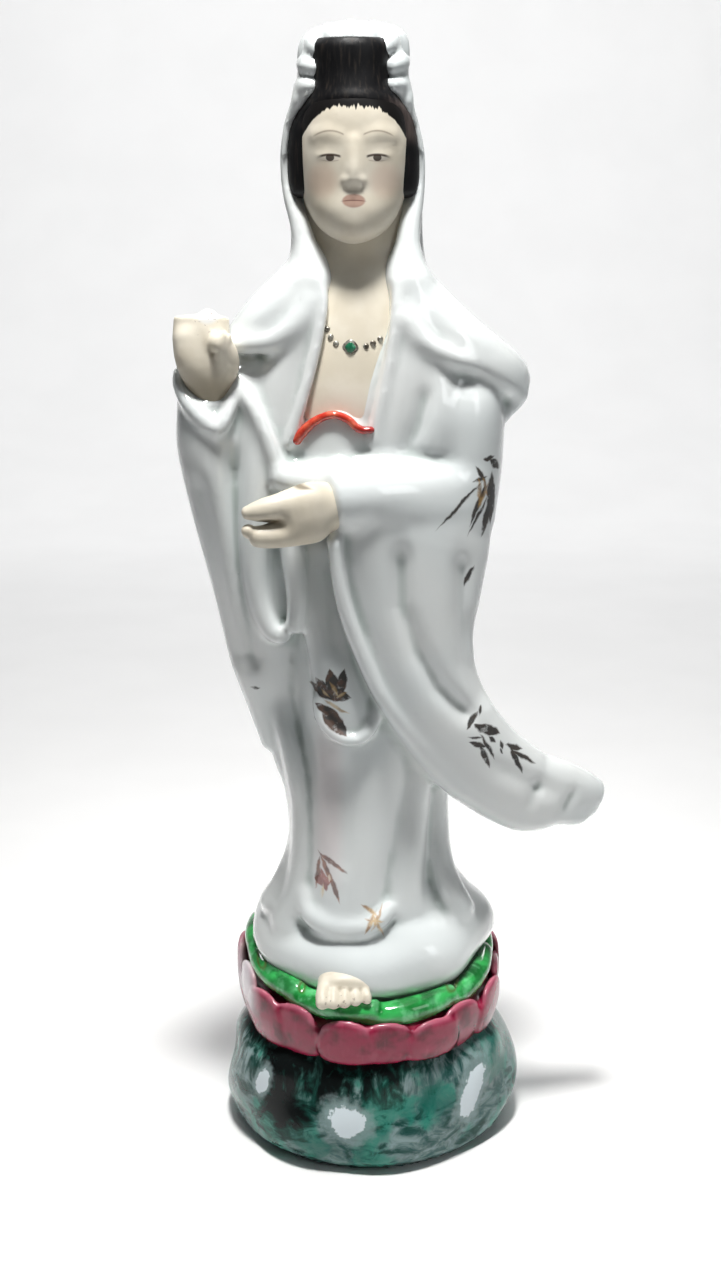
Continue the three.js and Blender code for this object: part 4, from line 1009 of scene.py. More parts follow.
def veil():
    rows = [
        [86, -1, 4, 12, 4, 15],
        [92, -1, 4, 16, 4, 17.4],
        [100, -0.7, 4, 19, 6, 18.4],
        [110, -0.4, 4, 21.4, 7, 19],
        [125, 0.2, 4, 24.6, 8, 19.2],
        [140, 0.5, 4, 27.6, 10, 18.5],
        [149, 0.8, 4, 29.6, 12, 17],
        [158, 0, 3.5, 26.5, 12.5, 15.5],
        [165, -1.5, 3, 21.5, 11, 14],
        [172, -2.8, 2.5, 17, 8, 13.8],
        [178, -3, 2, 15.7, 6.8, 14.5],
        [184, -3.2, 2, 15.3, 6, 15.2],
        [192, -3.8, 2, 15.9, 5.5, 16.2],
        [200, -4.1, 2, 16.3, 5, 16.6],
        [206, -4.3, 2, 15.4, 4.4, 15.8],
        [212, -4.3, 1.6, 13.6, 4, 13.6],
        [218, -4, 1.3, 12.7, 4, 11.8],
        [224, -3.8, 1, 12.6, 4.4, 11],
        [227, -3.4, 1, 11.4, 4.6, 9.6],
        [228.8, -2.9, 1, 8.6, 4, 7],
        [229.6, -2.5, 1, 5, 3, 4],
    ]
    return column(rows, backFolds=backFolds)


def veilRim():
    # gathered round the hair knot in soft lobes, then a thin edge down beside the hair
    arch = [
        [-15.4, -4.2, 212.4, 1.7, 2.2],
        [-14.4, -4.4, 217, 2, 2.2],
        [-13.4, -4.6, 222.2, 2, 2.2],
        [-9.8, -4.6, 226, 2, 2.2],
        [-4.2, -4.6, 227, 2, 2.2],
        [1.4, -4.6, 226.4, 2, 2.2],
        [5.2, -4.6, 222.6, 2.2, 2.2],
        [6.2, -4.4, 217, 2.4, 2.2],
        [7.4, -4.2, 212.6, 2, 2.2],
    ]
    middle = (-4.2, 216)
    lobes = [
        (-16.2, 215.4),
        (-15.6, 220.6),
        (-13.8, 225.4),
        (-9.4, 228.2),
        (-4.4, 229),
        (0.8, 228.6),
        (5.4, 226.2),
        (7.8, 221.2),
        (7.9, 215.8),
    ]
    left = [
        [-15.4, -4.8, 213.6, 1.6, 2.4],
        [-18.2, -3.6, 208.6, 1, 1.6],
        [-19.5, -2.8, 202, 0.9, 1.6],
        [-19.4, -2.4, 196, 1, 1.6],
        [-18.2, -3, 191, 1.6, 2],
        [-16.4, -4.4, 186.6, 2.2, 2.4],
        [-15, -6, 181.6, 2.7, 2.6],
        [-13.6, -7.4, 176.4, 3.2, 3],
        [-12.4, -9, 171, 3.6, 3.4],
    ]
    right = [
        [7.2, -4.8, 213.4, 1.8, 2.4],
        [9.6, -3.6, 208.6, 0.9, 1.6],
        [11.3, -2.8, 202, 0.8, 1.6],
        [11.4, -2.4, 196, 1, 1.6],
        [10.4, -3, 191, 1.8, 2],
        [9.2, -4.4, 186.6, 2.4, 2.4],
        [8.4, -6, 181.6, 2.9, 2.6],
        [8.4, -7.4, 176.4, 3.4, 3],
        [8.6, -9, 171, 3.8, 3.4],
    ]
    pleats = []
    for x, z in lobes:
        inX, inZ = x + (middle[0] - x) * 0.36, z + (middle[1] - z) * 0.36
        midX, midZ = (x + inX) / 2, (z + inZ) / 2
        pleats.append([[x, -2, z, 1.6], [midX, -6.4, midZ, 2.3], [inX, -8.6, inZ, 1.2]])
    return [
        roll(arch, melt=1.8, startRound=1.6, endRound=1.6),
        *[limb(stops, melt=0.7, front=(0, 0, 1)) for stops in pleats],
        *[roll(stops, melt=2.8, startRound=1.5, endRound=3) for stops in (left, right)],
    ]


def cape():
    rightShoulder = [
        [5, -3, 178, 4.4, 5.4],
        [12.6, -5, 167.6, 6, 8],
        [20.2, -5.6, 159.4, 6.8, 9.4],
        [26.4, -4.6, 155.4, 6, 8],
        [32.4, -2.4, 151.4, 4.8, 6],
        [35, -1.4, 147.4, 3, 4],
    ]
    rightHem = [
        [7, -12.6, 166.4, 2, 2.6],
        [12.4, -14, 160.2, 2.2, 2.8],
        [18.6, -13.8, 156.6, 2.2, 2.8],
        [25.2, -11.2, 154.2, 2.2, 2.8],
        [31, -7.6, 150.4, 2.2, 2.8],
        [34.6, -3.8, 147, 2, 2.6],
    ]
    tip = [[35.6, -2.6, 148, 2, 3], [34, -3, 145, 1.8, 3], [30.6, -3.8, 141.6, 1.4, 2.4]]
    leftShoulder = [
        [-11.6, -3, 178, 4.4, 5.4],
        [-18, -5.4, 171, 5.4, 7.4],
        [-23.6, -7, 165, 5.8, 8],
        [-28.4, -7.6, 160.8, 4.8, 6.8],
        [-31, -8, 158.6, 3.6, 5],
    ]
    leftHem = [
        [-12.8, -10.6, 170, 2.2, 2.8],
        [-17, -12.8, 164.4, 2.4, 3],
        [-22.6, -13.6, 160.4, 2.4, 3],
        [-28, -13.2, 159.6, 2.2, 2.8],
        [-32, -11.6, 159.4, 1.8, 2.2],
    ]
    return [
        roll(rightShoulder, melt=4, startRound=4, endRound=2),
        roll(leftShoulder, melt=4, startRound=4, endRound=2.5),
        *[roll(stops, melt=2.6, startRound=2, endRound=1.5) for stops in (rightHem, leftHem)],
        roll(tip, melt=2, startRound=1.5, endRound=1.5),
    ]


def lapels():
    left = [
        [-13.4, -7.6, 175, 3.6, 4.4],
        [-15.4, -10.8, 163, 5, 4],
        [-18, -12, 154, 5.6, 3.8],
        [-19.4, -13, 146, 4.4, 3.6],
        [-20.4, -13.6, 136, 3.4, 3.4],
        [-20.6, -13, 126, 3, 3],
    ]
    right = [
        [8.4, -7.6, 175, 3.6, 4.4],
        [9.2, -11.2, 163, 5, 4],
        [8.4, -13, 154, 5.6, 3.8],
        [6, -14.2, 144, 5.2, 3.6],
        [3.4, -14.6, 134, 4.6, 3.4],
        [2.6, -14.4, 126, 4.4, 3],
    ]
    leftEdge = [
        [-12.2, -11, 174, 1.2, 1.4],
        [-10.8, -12.4, 170, 1.2, 1.5],
        [-11.5, -14.2, 163, 1.2, 1.5],
        [-13.5, -15.4, 154, 1.2, 1.5],
        [-16.4, -16.2, 144, 1.2, 1.5],
        [-19, -16.4, 137, 1.1, 1.3],
    ]
    rightEdge = [
        [6.2, -11, 174, 1.2, 1.4],
        [6, -12.8, 170, 1.2, 1.5],
        [5.4, -14.6, 163, 1.2, 1.5],
        [4, -15.8, 154, 1.2, 1.5],
        [1.9, -16.8, 144, 1.2, 1.5],
        [0.6, -17, 137, 1.1, 1.3],
    ]
    return [
        *[roll(stops, melt=3.4, startRound=3, endRound=4) for stops in (left, right)],
        *[roll(stops, melt=1.6, startRound=1, endRound=1) for stops in (leftEdge, rightEdge)],
    ]


def leftArm():
    upperArm = [
        [18, 0.4, 158, 8.4, 10],
        [21.6, -1.4, 151, 9, 10.8],
        [22.2, -3, 144, 9.2, 13],
        [22.2, -4, 136, 9.2, 12.8],
        [21.6, -5, 126, 9, 11.6],
        [20, -6, 114, 8.4, 10],
    ]
    bosom = [
        [13.4, -7.4, 158, 5, 6],
        [14.6, -9.4, 150, 6, 7],
        [14.4, -10.6, 142, 6.6, 7.4],
        [13, -11, 133, 6.6, 7],
    ]
    chestCrease = [([(12.8, 152), (10.6, 142.3), (7.4, 135)], 1.8, 1.4)]
    foreArm = [
        [23.6, -6, 126.4, 7.4, 8.4],
        [16.6, -10.8, 126.2, 8, 9],
        [8, -15.8, 126, 8.2, 9.2],
        [-1.4, -19.8, 126, 8, 8.8],
        [-7.6, -21.8, 125.4, 7.4, 7.8],
        [-10.2, -22.6, 125, 6.6, 6.8],
    ]
    sleeveBack = [
        [-4, -17.6, 129, 5.6, 6.4],
        [-11, -18.4, 128.8, 5, 6],
        [-17.6, -17.8, 129.4, 3.8, 4.8],
        [-22.4, -16.8, 130.4, 2.6, 3.6],
    ]
    hanging = [
        [9.6, -13.4, 128, 18.6, 10, -24],
        [9.8, -14.4, 115, 19.6, 10, -22],
        [10, -15.4, 102, 17, 9.4, -18],
        [10.8, -15.8, 91, 14.2, 9, -15],
        [13.4, -15.4, 80, 12.6, 8.6, -12],
        [18.8, -14, 69, 11.8, 8, -9],
        [27.2, -11.6, 58.6, 11.2, 7.2, -6],
        [38, -8.8, 51, 10.2, 6.2, -3],
        [47.4, -6.6, 49.4, 8, 5.2, 0],
        [54, -5.2, 48.6, 5, 3.8, 0],
        [57.8, -4.6, 47.6, 2.4, 2.4, 0],
    ]
    folds = [
        ([(6.6, 118), (7.4, 101), (10.8, 90), (15.8, 81), (26, 70)], 2.4, 2),
        ([(21, 114), (21, 99), (22.4, 86), (29, 73)], 2, 1.6),
        ([(27, 62), (38, 54.5), (50, 49)], 2.4, 0.9),
        ([(51, 53), (48.6, 48.6), (46.2, 43.4)], 1.5, 1.3),
        ([(42, 56.6), (39.6, 51), (38, 45.4)], 1.7, 1.1),
    ]
    hem = [
        [-8.4, -24.4, 118, 1.8, 3],
        [-6.4, -24.2, 103, 1.9, 3],
        [-2.6, -23, 91, 2, 3],
        [3, -21.8, 78.6, 2, 3],
        [10.6, -19.6, 67.6, 2.2, 3],
        [20, -16.4, 55.6, 2.2, 3],
        [28, -13.4, 49, 2.2, 2.8],
        [35.6, -11, 43.8, 2.3, 2.8],
        [41, -9.4, 42.8, 2, 2.6],
        [45.8, -8, 44, 1.8, 2.4],
        [50.8, -6.6, 42.6, 2, 2.3],
        [55.6, -5.2, 45.4, 1.6, 2],
    ]
    return [
        roll(upperArm, melt=2.4, startRound=5, endRound=6),
        roll(bosom, melt=3.4, startRound=4, endRound=4, folds=chestCrease),
        roll(foreArm, melt=3, startRound=5, endRound=2),
        roll(sleeveBack, melt=2, startRound=3, endRound=2),
        roll(hanging, melt=3, startRound=7, endRound=2, folds=folds),
        roll(hem, melt=2.4, startRound=2, endRound=2),
    ]


def rightArm():
    upperArm = [
        [-19, 0.6, 158, 8, 10],
        [-27, -1.6, 148, 9, 11],
        [-32.8, -4.6, 138, 8.8, 10.4],
        [-34, -7, 128, 8, 9],
    ]
    hanging = [
        [-37.4, -7.2, 150, 7.2, 5.4],
        [-36.8, -9.2, 143.6, 8, 8.6],
        [-36.4, -9, 137, 8.7, 9.8],
        [-35.2, -8.6, 130, 8.8, 10.4],
        [-33, -8, 118, 8.4, 10.4],
        [-30.8, -7.4, 106, 7.7, 10],
        [-28.9, -7, 95, 7.2, 9.2],
        [-27.2, -6, 84, 6.7, 8],
        [-26, -5, 74, 4.8, 6.2],
        [-25.4, -4.4, 66, 2.8, 4.4],
        [-24.8, -4, 60, 1.4, 2.4],
    ]
    cuff = [
        [-44, -8, 152.8, 1.4, 2.2],
        [-43.4, -12, 150, 1.8, 2.6],
        [-40.4, -16.2, 145.4, 2, 2.4],
        [-35, -18.2, 141.2, 2, 2.2],
        [-32.2, -16.6, 145, 1.5, 2],
        [-30.8, -11.8, 152, 1.3, 1.8],
    ]
    lip = [
        [-30.8, -11.6, 152, 1.4, 2],
        [-28.4, -14.6, 148, 1.6, 2.4],
        [-26, -15.8, 144.2, 1.8, 2.8],
        [-23.8, -16.6, 139.4, 2, 3],
        [-21.6, -17, 133, 2.2, 3.2],
        [-20, -17, 127, 2.4, 3.2],
    ]
    innerRolls = [
        [
            [-27.4, -11, 149, 3, 3.4],
            [-25.8, -13.6, 139, 3.6, 4],
            [-26, -15.2, 126, 4, 4.2],
            [-27, -15.4, 112, 3.4, 4],
            [-26, -14.8, 100, 2.8, 3.6],
            [-22.8, -15, 92.6, 2.4, 3.4],
            [-18.6, -16, 91.6, 2.2, 3.2],
        ],
        [
            [-19.6, -15.6, 126, 3, 3.2],
            [-18.2, -16.8, 113, 3, 3.6],
            [-17, -17, 101, 2.6, 3.6],
            [-17.6, -16.4, 92.6, 2.4, 3.2],
        ],
    ]
    web = [
        [-26, -6, 154, 8, 7],
        [-25.4, -8, 144, 8, 7],
        [-25, -8, 134, 8, 7],
        [-24, -7.6, 114, 7.4, 7],
        [-22, -6.6, 90, 5, 6.4],
        [-20, -4, 62, 3, 4],
    ]
    folds = [
        ([(-40, 132), (-37.4, 118), (-34, 98), (-30, 80)], 2.2, 1.2),
        ([(-31.6, 139), (-31, 118), (-29.6, 98), (-27.4, 80)], 2.2, 2.6),
    ]
    return [
        roll(upperArm, melt=2.4, startRound=5, endRound=5),
        roll(hanging, melt=2.4, startRound=3, endRound=2, folds=folds),
        roll(cuff, melt=1.6, startRound=1.2, endRound=1.2),
        roll(lip, melt=1.8, startRound=1.5, endRound=3),
        roll(web, melt=4, startRound=4, endRound=4),
        *[roll(stops, melt=2, startRound=2, endRound=2) for stops in innerRolls],
    ]


def sashEnd():
    stops = [
        [-12.6, -13.6, 116, 4.6, 4],
        [-11.8, -14.8, 102, 5.4, 4.6],
        [-8.8, -16, 89, 6, 5],
        [-6.4, -16.8, 79, 6.8, 5],
        [-5, -17.2, 71.4, 6.6, 4.6],
        [-4.4, -17.2, 66.6, 4.4, 3.4],
    ]
    lip = [
        [-12.8, -18.8, 78, 1, 1.4],
        [-11.6, -20.4, 72.6, 1.4, 1.8],
        [-7.6, -21.4, 68.6, 1.6, 2],
        [-2.4, -21.4, 68.2, 1.6, 2],
        [0.8, -20, 71.8, 1.4, 1.8],
        [1.6, -18.6, 77, 1, 1.4],
    ]
    folds = [([(-10.6, 114), (-9.6, 96), (-7.4, 84)], 2.6, 1.8)]
    return [
        roll(stops, melt=1.2, startRound=4, endRound=3, folds=folds),
        roll(lip, melt=1.6, startRound=1.4, endRound=1.4),
    ]


def undergarment():
    stops = [
        [-8.2, -12.2, 145, 3.4, 4.4],
        [-8, -12.7, 141.6, 8, 4.8],
        [-8, -13, 138, 11, 5],
        [-8, -13, 128, 11, 5],
    ]
    return roll(stops, melt=1.2, startRound=1.5, endRound=4)


def robeShapes():
    return [
        robeBody(),
        *frontPanel(),
        *skirtPleats(),
        veil(),
        *veilRim(),
        *cape(),
        undergarment(),
        *lapels(),
        *leftArm(),
        *rightArm(),
        *sashEnd(),
    ]


# Bamboo sprigs on the front, as brush strokes (start, stop, width)
sprigs = {
    "elbow": [
        ((28.1, 130.5), (27.9, 117.6), 2.0),
        ((28.1, 124.6), (25.8, 115.4), 1.6),
        ((26.6, 128), (22.9, 118.6), 1.2),
        ((27.2, 125), (22.6, 116.4), 0.8),
        ((25.4, 128.4), (15.4, 118.8), 0.8),
        ((24.2, 132.1), (26.6, 128), 0.9),
        ((23.3, 128.7), (27, 129.4), 0.8),
        ((25.8, 133.6), (28.6, 133.8), 1.1),
        ((27.5, 133.5), (29.8, 130.8), 1.6),
        ((24, 109), (21.8, 104.2), 1.0),
    ],
    "elbowGold": [
        ((24.8, 129.2), (25.2, 122.8), 1.1),
        ((27.4, 128), (24.7, 122.4), 1.0),
        ((25.8, 129.4), (27.2, 125), 0.9),
    ],
    "sleeve": [
        ((26.4, 75.2), (25.7, 73), 0.8),
        ((25.3, 74), (22.8, 70.2), 1.4),
        ((24.6, 71), (31, 67.6), 2.3),
        ((23.3, 67), (27.8, 65.3), 1.3),
        ((23.1, 68.2), (26.7, 67.6), 0.6),
        ((26.2, 68.4), (29.8, 61.8), 0.9),
        ((25.9, 66.2), (28.6, 59.6), 1.3),
        ((28.4, 67.6), (29.8, 65.8), 0.9),
        ((31, 66.2), (31.8, 64), 0.9),
        ((31, 64.4), (31.8, 62.8), 0.6),
        ((32.4, 64.8), (36.6, 63), 1.2),
        ((33.3, 64.8), (36.8, 57.2), 1.3),
        ((33.8, 63.6), (39.8, 58.9), 1.0),
    ],
    "tab": [
        ((-14.6, 80.5), (-4.6, 78.2), 3.9),
        ((-9.5, 85), (-8.2, 77.2), 3.4),
        ((-6, 85.2), (-7.4, 78), 2.3),
        ((-13, 82.6), (-9.2, 77.6), 2.7),
        ((-12, 76.6), (-5.4, 69), 3.7),
        ((-13, 76.6), (-9.2, 74), 1.8),
    ],
    "tabGold": [
        ((-9.3, 82), (-7.7, 78.7), 0.8),
        ((-8, 78.3), (-5.5, 79.5), 0.7),
        ((-10.8, 77.3), (-5.1, 74.3), 1.0),
        ((-11.5, 79.9), (-9.3, 78), 0.7),
    ],
    "skirt": [
        ((-12.5, 38.1), (-5.7, 34), 1.2),
        ((-12, 37.8), (-8.5, 29.8), 1.2),
        ((-9.9, 33.6), (-7.2, 26.4), 1.1),
        ((-12.1, 36.8), (-13.2, 29), 1.1),
    ],
    "skirtRed": [((-13.5, 31), (-9.3, 31.6), 2.9), ((-11.8, 34), (-10.7, 29), 2.1)],
    "skirtLight": [((-11.4, 30.6), (-11.6, 27), 0.7), ((-9.7, 33.2), (-9.9, 31.3), 0.6)],
    "hem": [
        ((-1.9, 25.9), (1.9, 22.9), 0.8),
        ((3.1, 25.1), (0.3, 20), 0.9),
        ((1.3, 24.1), (-1.3, 19.2), 0.9),
        ((0.5, 24.1), (3.3, 17.4), 0.9),
        ((-1, 22.5), (3.2, 21.8), 0.7),
    ],
    "dash": [((-28.8, 77.7), (-26.4, 77.8), 0.8)],
}


# Layers of enamel: sprigs, strength, and the two colours that it wears between
sprigLayers = [
    ("elbow", "sleeve", "dash", 0.97, (0.016, 0.012, 0.011), (0.035, 0.025, 0.018)),
    ("elbowGold", 0.85, (0.17, 0.1, 0.04), (0.40, 0.24, 0.08)),
    ("tab", 0.95, (0.012, 0.006, 0.004), (0.07, 0.028, 0.012)),
    ("tabGold", 0.8, (0.3, 0.2, 0.09), (0.55, 0.45, 0.28)),
    ("skirtRed", 0.75, (0.24, 0.035, 0.03), (0.35, 0.1, 0.08)),
    ("skirt", 0.8, (0.14, 0.06, 0.045), (0.32, 0.14, 0.09)),
    ("skirtLight", 0.8, (0.7, 0.6, 0.42), (0.75, 0.7, 0.6)),
    ("hem", 0.85, (0.36, 0.2, 0.08), (0.6, 0.42, 0.2)),
]


def robePaint():
    paint = Paint("whiteGlaze")
    crease = paint.hollow()
    cloud = paint.noise(40, detail=2)
    colour = paint.mix(cloud.ramp(0.35, 0.65), *robe["glaze"])
    # the creases greyer and greener: glaze pooled there, and painted shade
    colour = paint.mix(crease.ramp(0.03, 0.55) * 0.8, colour, robe["crease"])
    # a faint painted pink reflection down the front panel
    # a painted reflection of the pink lotus on the glaze
    blushAndPaintedReflection = paint.x.ramp(-15, -11) * paint.x.ramp(-5, -9) * paint.z.ramp(78, 60) * paint.z.ramp(26, 40)
    blushAndPaintedReflection = blushAndPaintedReflection * paint.y.ramp(0, -6)
    colour = paint.mix(blushAndPaintedReflection * 0.3, colour, robe["blushAndPaintedReflection"])
    front = paint.y.ramp(4, 0)
    dry = paint.noise(2.6, detail=4, rough=0.65).ramp(0.3, 0.46, 0.55, 1.0) * front
    # the strokes are laid on shaken places, so their edges stray
    shake = robe["brushShake"]
    paint.x = paint.x + paint.noise(2.6, detail=3) * shake - shake / 2
    paint.z = paint.z + paint.noise(2.6, detail=3, shift=(3, 8, 5)) * shake - shake / 2
    worn = paint.noise(2.4, detail=2).ramp(0.42, 0.62)
    inks = []
    for *names, strength, first, second in sprigLayers:
        rows = sum((sprigs[name] for name in names), [])
        inks.append(paint.strokes(rows, soft=0.34) * dry)
        colour = paint.mix(inks[-1] * strength, colour, paint.mix(worn, first, second))
    painted = strongest(inks)
    rough = painted.ramp(0, 1, 0.12, 0.5)
    bump = (paint.noise(5, detail=1), 0.3, 0.06)
    return paint.finish(colour, rough, bump, Coat_Weight=painted.ramp(0, 1, 1.0, 0.15), Coat_Roughness=0.04)


dress(skin("robe", robeShapes(), robe["grain"]), robePaint())
print("robe built")

# Red edge of the undergarment

trim = {
    "grain": 0.35,
    "worn": ((0.5, 0.03, 0.018), (0.68, 0.13, 0.07)),
    "dark": (0.24, 0.016, 0.02),  # towards the left sleeve
}


def redTrim():
    stops = [
        [-17.4, -16.4, 137.3, 1.2, 1.2],
        [-15.6, -17.1, 139.9, 1.2, 1.2],
        [-12.6, -17.5, 142.7, 1, 1.2],
        [-8.4, -17.7, 144.2, 0.9, 1.2],
        [-4.7, -17.9, 142.8, 0.9, 1.2],
        [-2.6, -18, 140.8, 0.9, 1.2],
        [1, -17.9, 140.7, 0.8, 1.2],
    ]
    return roll(stops, melt=0.6)


def trimPaint():
    paint = Paint("redEnamel")
    wear = paint.noise(3, detail=3)
    colour = paint.mix(wear.ramp(0.4, 0.7), *trim["worn"])
    colour = paint.mix(paint.x.ramp(-5, 0) * 0.7, colour, trim["dark"])
    return paint.finish(colour, 0.15, Coat_Weight=0.5, Coat_Roughness=0.05)


dress(skin("redTrim", [redTrim()], trim["grain"]), trimPaint())

# Head, hair, neck and chest

head = {
    "x": -3.8,
    "y": -3.6,
    "eyes": 200.6,
    "nose": 195.4,
    "mouth": 191.2,
    "grain": 0.42,
    "chestGrain": 0.6,
    "hairGrain": 0.5,
}


def headShapes():
    # a plain face in even thirds
    x, y, eyes, noseTip, mouth = (head[key] for key in ("x", "y", "eyes", "nose", "mouth"))
    rows = [
        [181.8, x, y - 3.6, 2.6, 4, 4],
        [182.8, x, y - 3.4, 5, 6.6, 6],
        [185, x, y - 2.6, 7.9, 9.2, 9],
        [188.6, x, y - 1.4, 10.3, 11.2, 10.6],
        [193.6, x, y, 12, 12.2, 12],
        [200, x, y, 12.6, 12.4, 13],
        [206, x, y, 12.5, 12.2, 13],
        [211, x, y, 11.4, 11.6, 12],
        [214.4, x, y, 9, 10.2, 10],
        [217, x, y, 5, 6, 6],
    ]
    nose = [
        [x, y - 10.6, eyes + 4, 1.1, 1.4],
        [x, y - 11.4, eyes - 0.6, 1.2, 1.7],
        [x, y - 11.7, noseTip + 1, 1.5, 1.8],
        [x, y - 11.2, noseTip - 0.3, 1.3, 1.1],
    ]
    shapes = [column(rows), roll(nose, melt=2, startRound=1, endRound=1.2)]
    for side in (-1, 1):
        lid = [
            [x + side * 2.7, y - 10.8, eyes - 0.2, 0.6, 0.7],
            [x + side * 5.3, y - 10, eyes + 0.1, 1.1, 1.1],
            [x + side * 8, y - 8.4, eyes + 0.1, 0.6, 0.7],
        ]
        brow = [
            [x + side * 2.6, y - 10.3, eyes + 4, 0.7, 0.7],
            [x + side * 5.4, y - 9.5, eyes + 5, 0.8, 0.8],
            [x + side * 8.4, y - 7.5, eyes + 4.2, 0.7, 0.6],
        ]
        nostril = [[x + side * 1.2, y - 12, noseTip, 0.9], [x + side * 1.7, y - 11.2, noseTip + 0.2, 0.9]]
        shapes += [
            roll(lid, melt=0.8, startRound=0.7, endRound=0.7),
            roll(brow, melt=2.4, startRound=0.7, endRound=0.7),
            limb(nostril, melt=1.2),
        ]
    for height, wide, thick in ((mouth + 0.7, 2.6, 0.7), (mouth - 0.8, 2.1, 0.8)):
        lip = [
            [x - wide, y - 10.2, height, thick * 0.5, 0.9],
            [x, y - 11.2, height, thick, 1.3],
            [x + wide, y - 10.2, height, thick * 0.5, 0.9],
        ]
        shapes.append(roll(lip, melt=0.8))
    chin = [[x - 1.4, y - 8, 185.6, 2.6], [x + 1.4, y - 8, 185.6, 2.6]]
    shapes.append(limb(chin, melt=3))
    return shapes


def hairShape():
    x, y = head["x"], head["y"]
    rows = [
        [191.4, x, y + 1, 13.4, 6, 10],
        [193, x, y + 1, 14.6, 8.4, 12],
        [200, x - 0.1, y + 1, 15, 9.6, 13],
        [206, x - 0.2, y + 1, 14.4, 9.6, 13],
        [209, x, y + 0.8, 13.4, 9.4, 13],
        [211.2, x, y + 0.4, 12, 10.8, 12.6],
        [213, x, y, 10.6, 11.2, 12],
        [215.4, x - 0.4, y - 0.2, 9.4, 10.2, 10],
        [218.6, x - 0.6, y - 0.4, 9, 9.4, 8],
        [224, x - 0.6, y - 0.4, 9.3, 9.2, 8],
        [225.8, x - 0.6, y - 0.4, 8, 8.2, 6],
    ]
    return column(rows)


def chestShapes():
    neck = [
        [158, -3.4, -0.5, 12, 10.5, 8],
        [168, -3.4, -0.5, 12, 9.6, 8],
        [175, -3.4, -0.6, 11.4, 8.2, 8],
        [181, -3.8, -0.8, 12, 7.2, 8],
        [187, -3.8, -0.6, 12.4, 6.6, 8],
        [192, -3.8, 0, 12, 5.4, 8],
        [196, -3.8, 1, 10, 4, 8],
    ]
    chest = [
        [-2.6, -3.6, 176, 8.6, 4],
        [-2.8, -6.6, 169.5, 10, 4.6],
        [-4.2, -9.4, 160, 10.6, 4.8],
        [-6.2, -11.2, 149, 10.6, 4.8],
        [-7.6, -12, 137, 10.6, 4.4],
    ]
    return [column(neck), roll(chest, melt=4, startRound=3, endRound=2)]


skinLook = {
    "light": (0.82, 0.765, 0.65),
    "deep": (0.73, 0.665, 0.54),
    # painted shade in the creases
    "crease": (0.3, 0.24, 0.15),
    "paintedWristShadow": (0.36, 0.3, 0.2),
    "lowerHand": (0.46, 0.4, 0.3),
    "breakAt": (-36.5, 167.2, 2.8),  # where the raised hand is broken off
    "break": (0.8, 0.81, 0.8),
    "speckAt": [(-36.5, 166, 5), (-8, 4, 5), (-3, 4, 4)],
    "speck": (0.12, 0.07, 0.05),
    "marksAndGapShadeAt": [((-18.5, 130.2), (-13, 129.2), 0.9), ((-26, 122), (-20.5, 122.2), 1.6)],
    "mark": (0.13, 0.1, 0.06),
}
faceLook = {
    "blushAndPaintedReflection": (0.66, 0.38, 0.28),
    "fringe": (0.006, 0.005, 0.005),
    "white": (0.78, 0.73, 0.66),
    "iris": (0.03, 0.016, 0.01),
    "lid": (0.035, 0.018, 0.012),
    "under": (0.2, 0.1, 0.06),
    "brow": (0.16, 0.1, 0.065),
    "lips": (0.36, 0.13, 0.09),
    "parting": (0.12, 0.03, 0.02),
}


def skinPaint(name, face=False):
    # unglazed porcelain with a thin wash of flesh colour
    paint = Paint(name)
    crease = paint.hollow()
    cloud = paint.noise(9, detail=3)
    colour = paint.mix(cloud.ramp(0.3, 0.7), skinLook["light"], skinLook["deep"])
    # painted shade in the creases of the skin
    colour = paint.mix(crease.ramp(0.03, 0.35) * 0.8, colour, skinLook["crease"])
    raised = paint.x.ramp(-28, -30)
    # a painted shadow on the raised hand's wrist, below the palm
    colour = paint.mix(raised * paint.z.ramp(157, 149) * 0.75, colour, skinLook["paintedWristShadow"])
    broken = paint.spot(*skinLook["breakAt"], 0.8) * raised
    colour = paint.mix(broken * 0.8, colour, skinLook["break"])
    lowerHand = paint.z.ramp(134, 130) * paint.z.ramp(108, 112)
    colour = paint.mix(lowerHand * 0.3, colour, skinLook["lowerHand"])
    specks = paint.noise(0.9, detail=1).ramp(0.64, 0.7) * paint.spots(skinLook["speckAt"])
    colour = paint.mix(specks * 0.9, colour, skinLook["speck"])
    # dark marks on the lowered hand: a dark mark on its top, and a painted shadow in the gap between its
    # fingers
    for mark in skinLook["marksAndGapShadeAt"]:
        colour = paint.mix(paint.stroke(*mark, 0.5) * 0.8, colour, skinLook["mark"])
    if face:
        colour = facePaint(paint, colour)
    fine = paint.noise(0.7, detail=2)
    return paint.finish(colour, 0.42, (fine, 0.08, 0.12), Specular_IOR_Level=0.4)


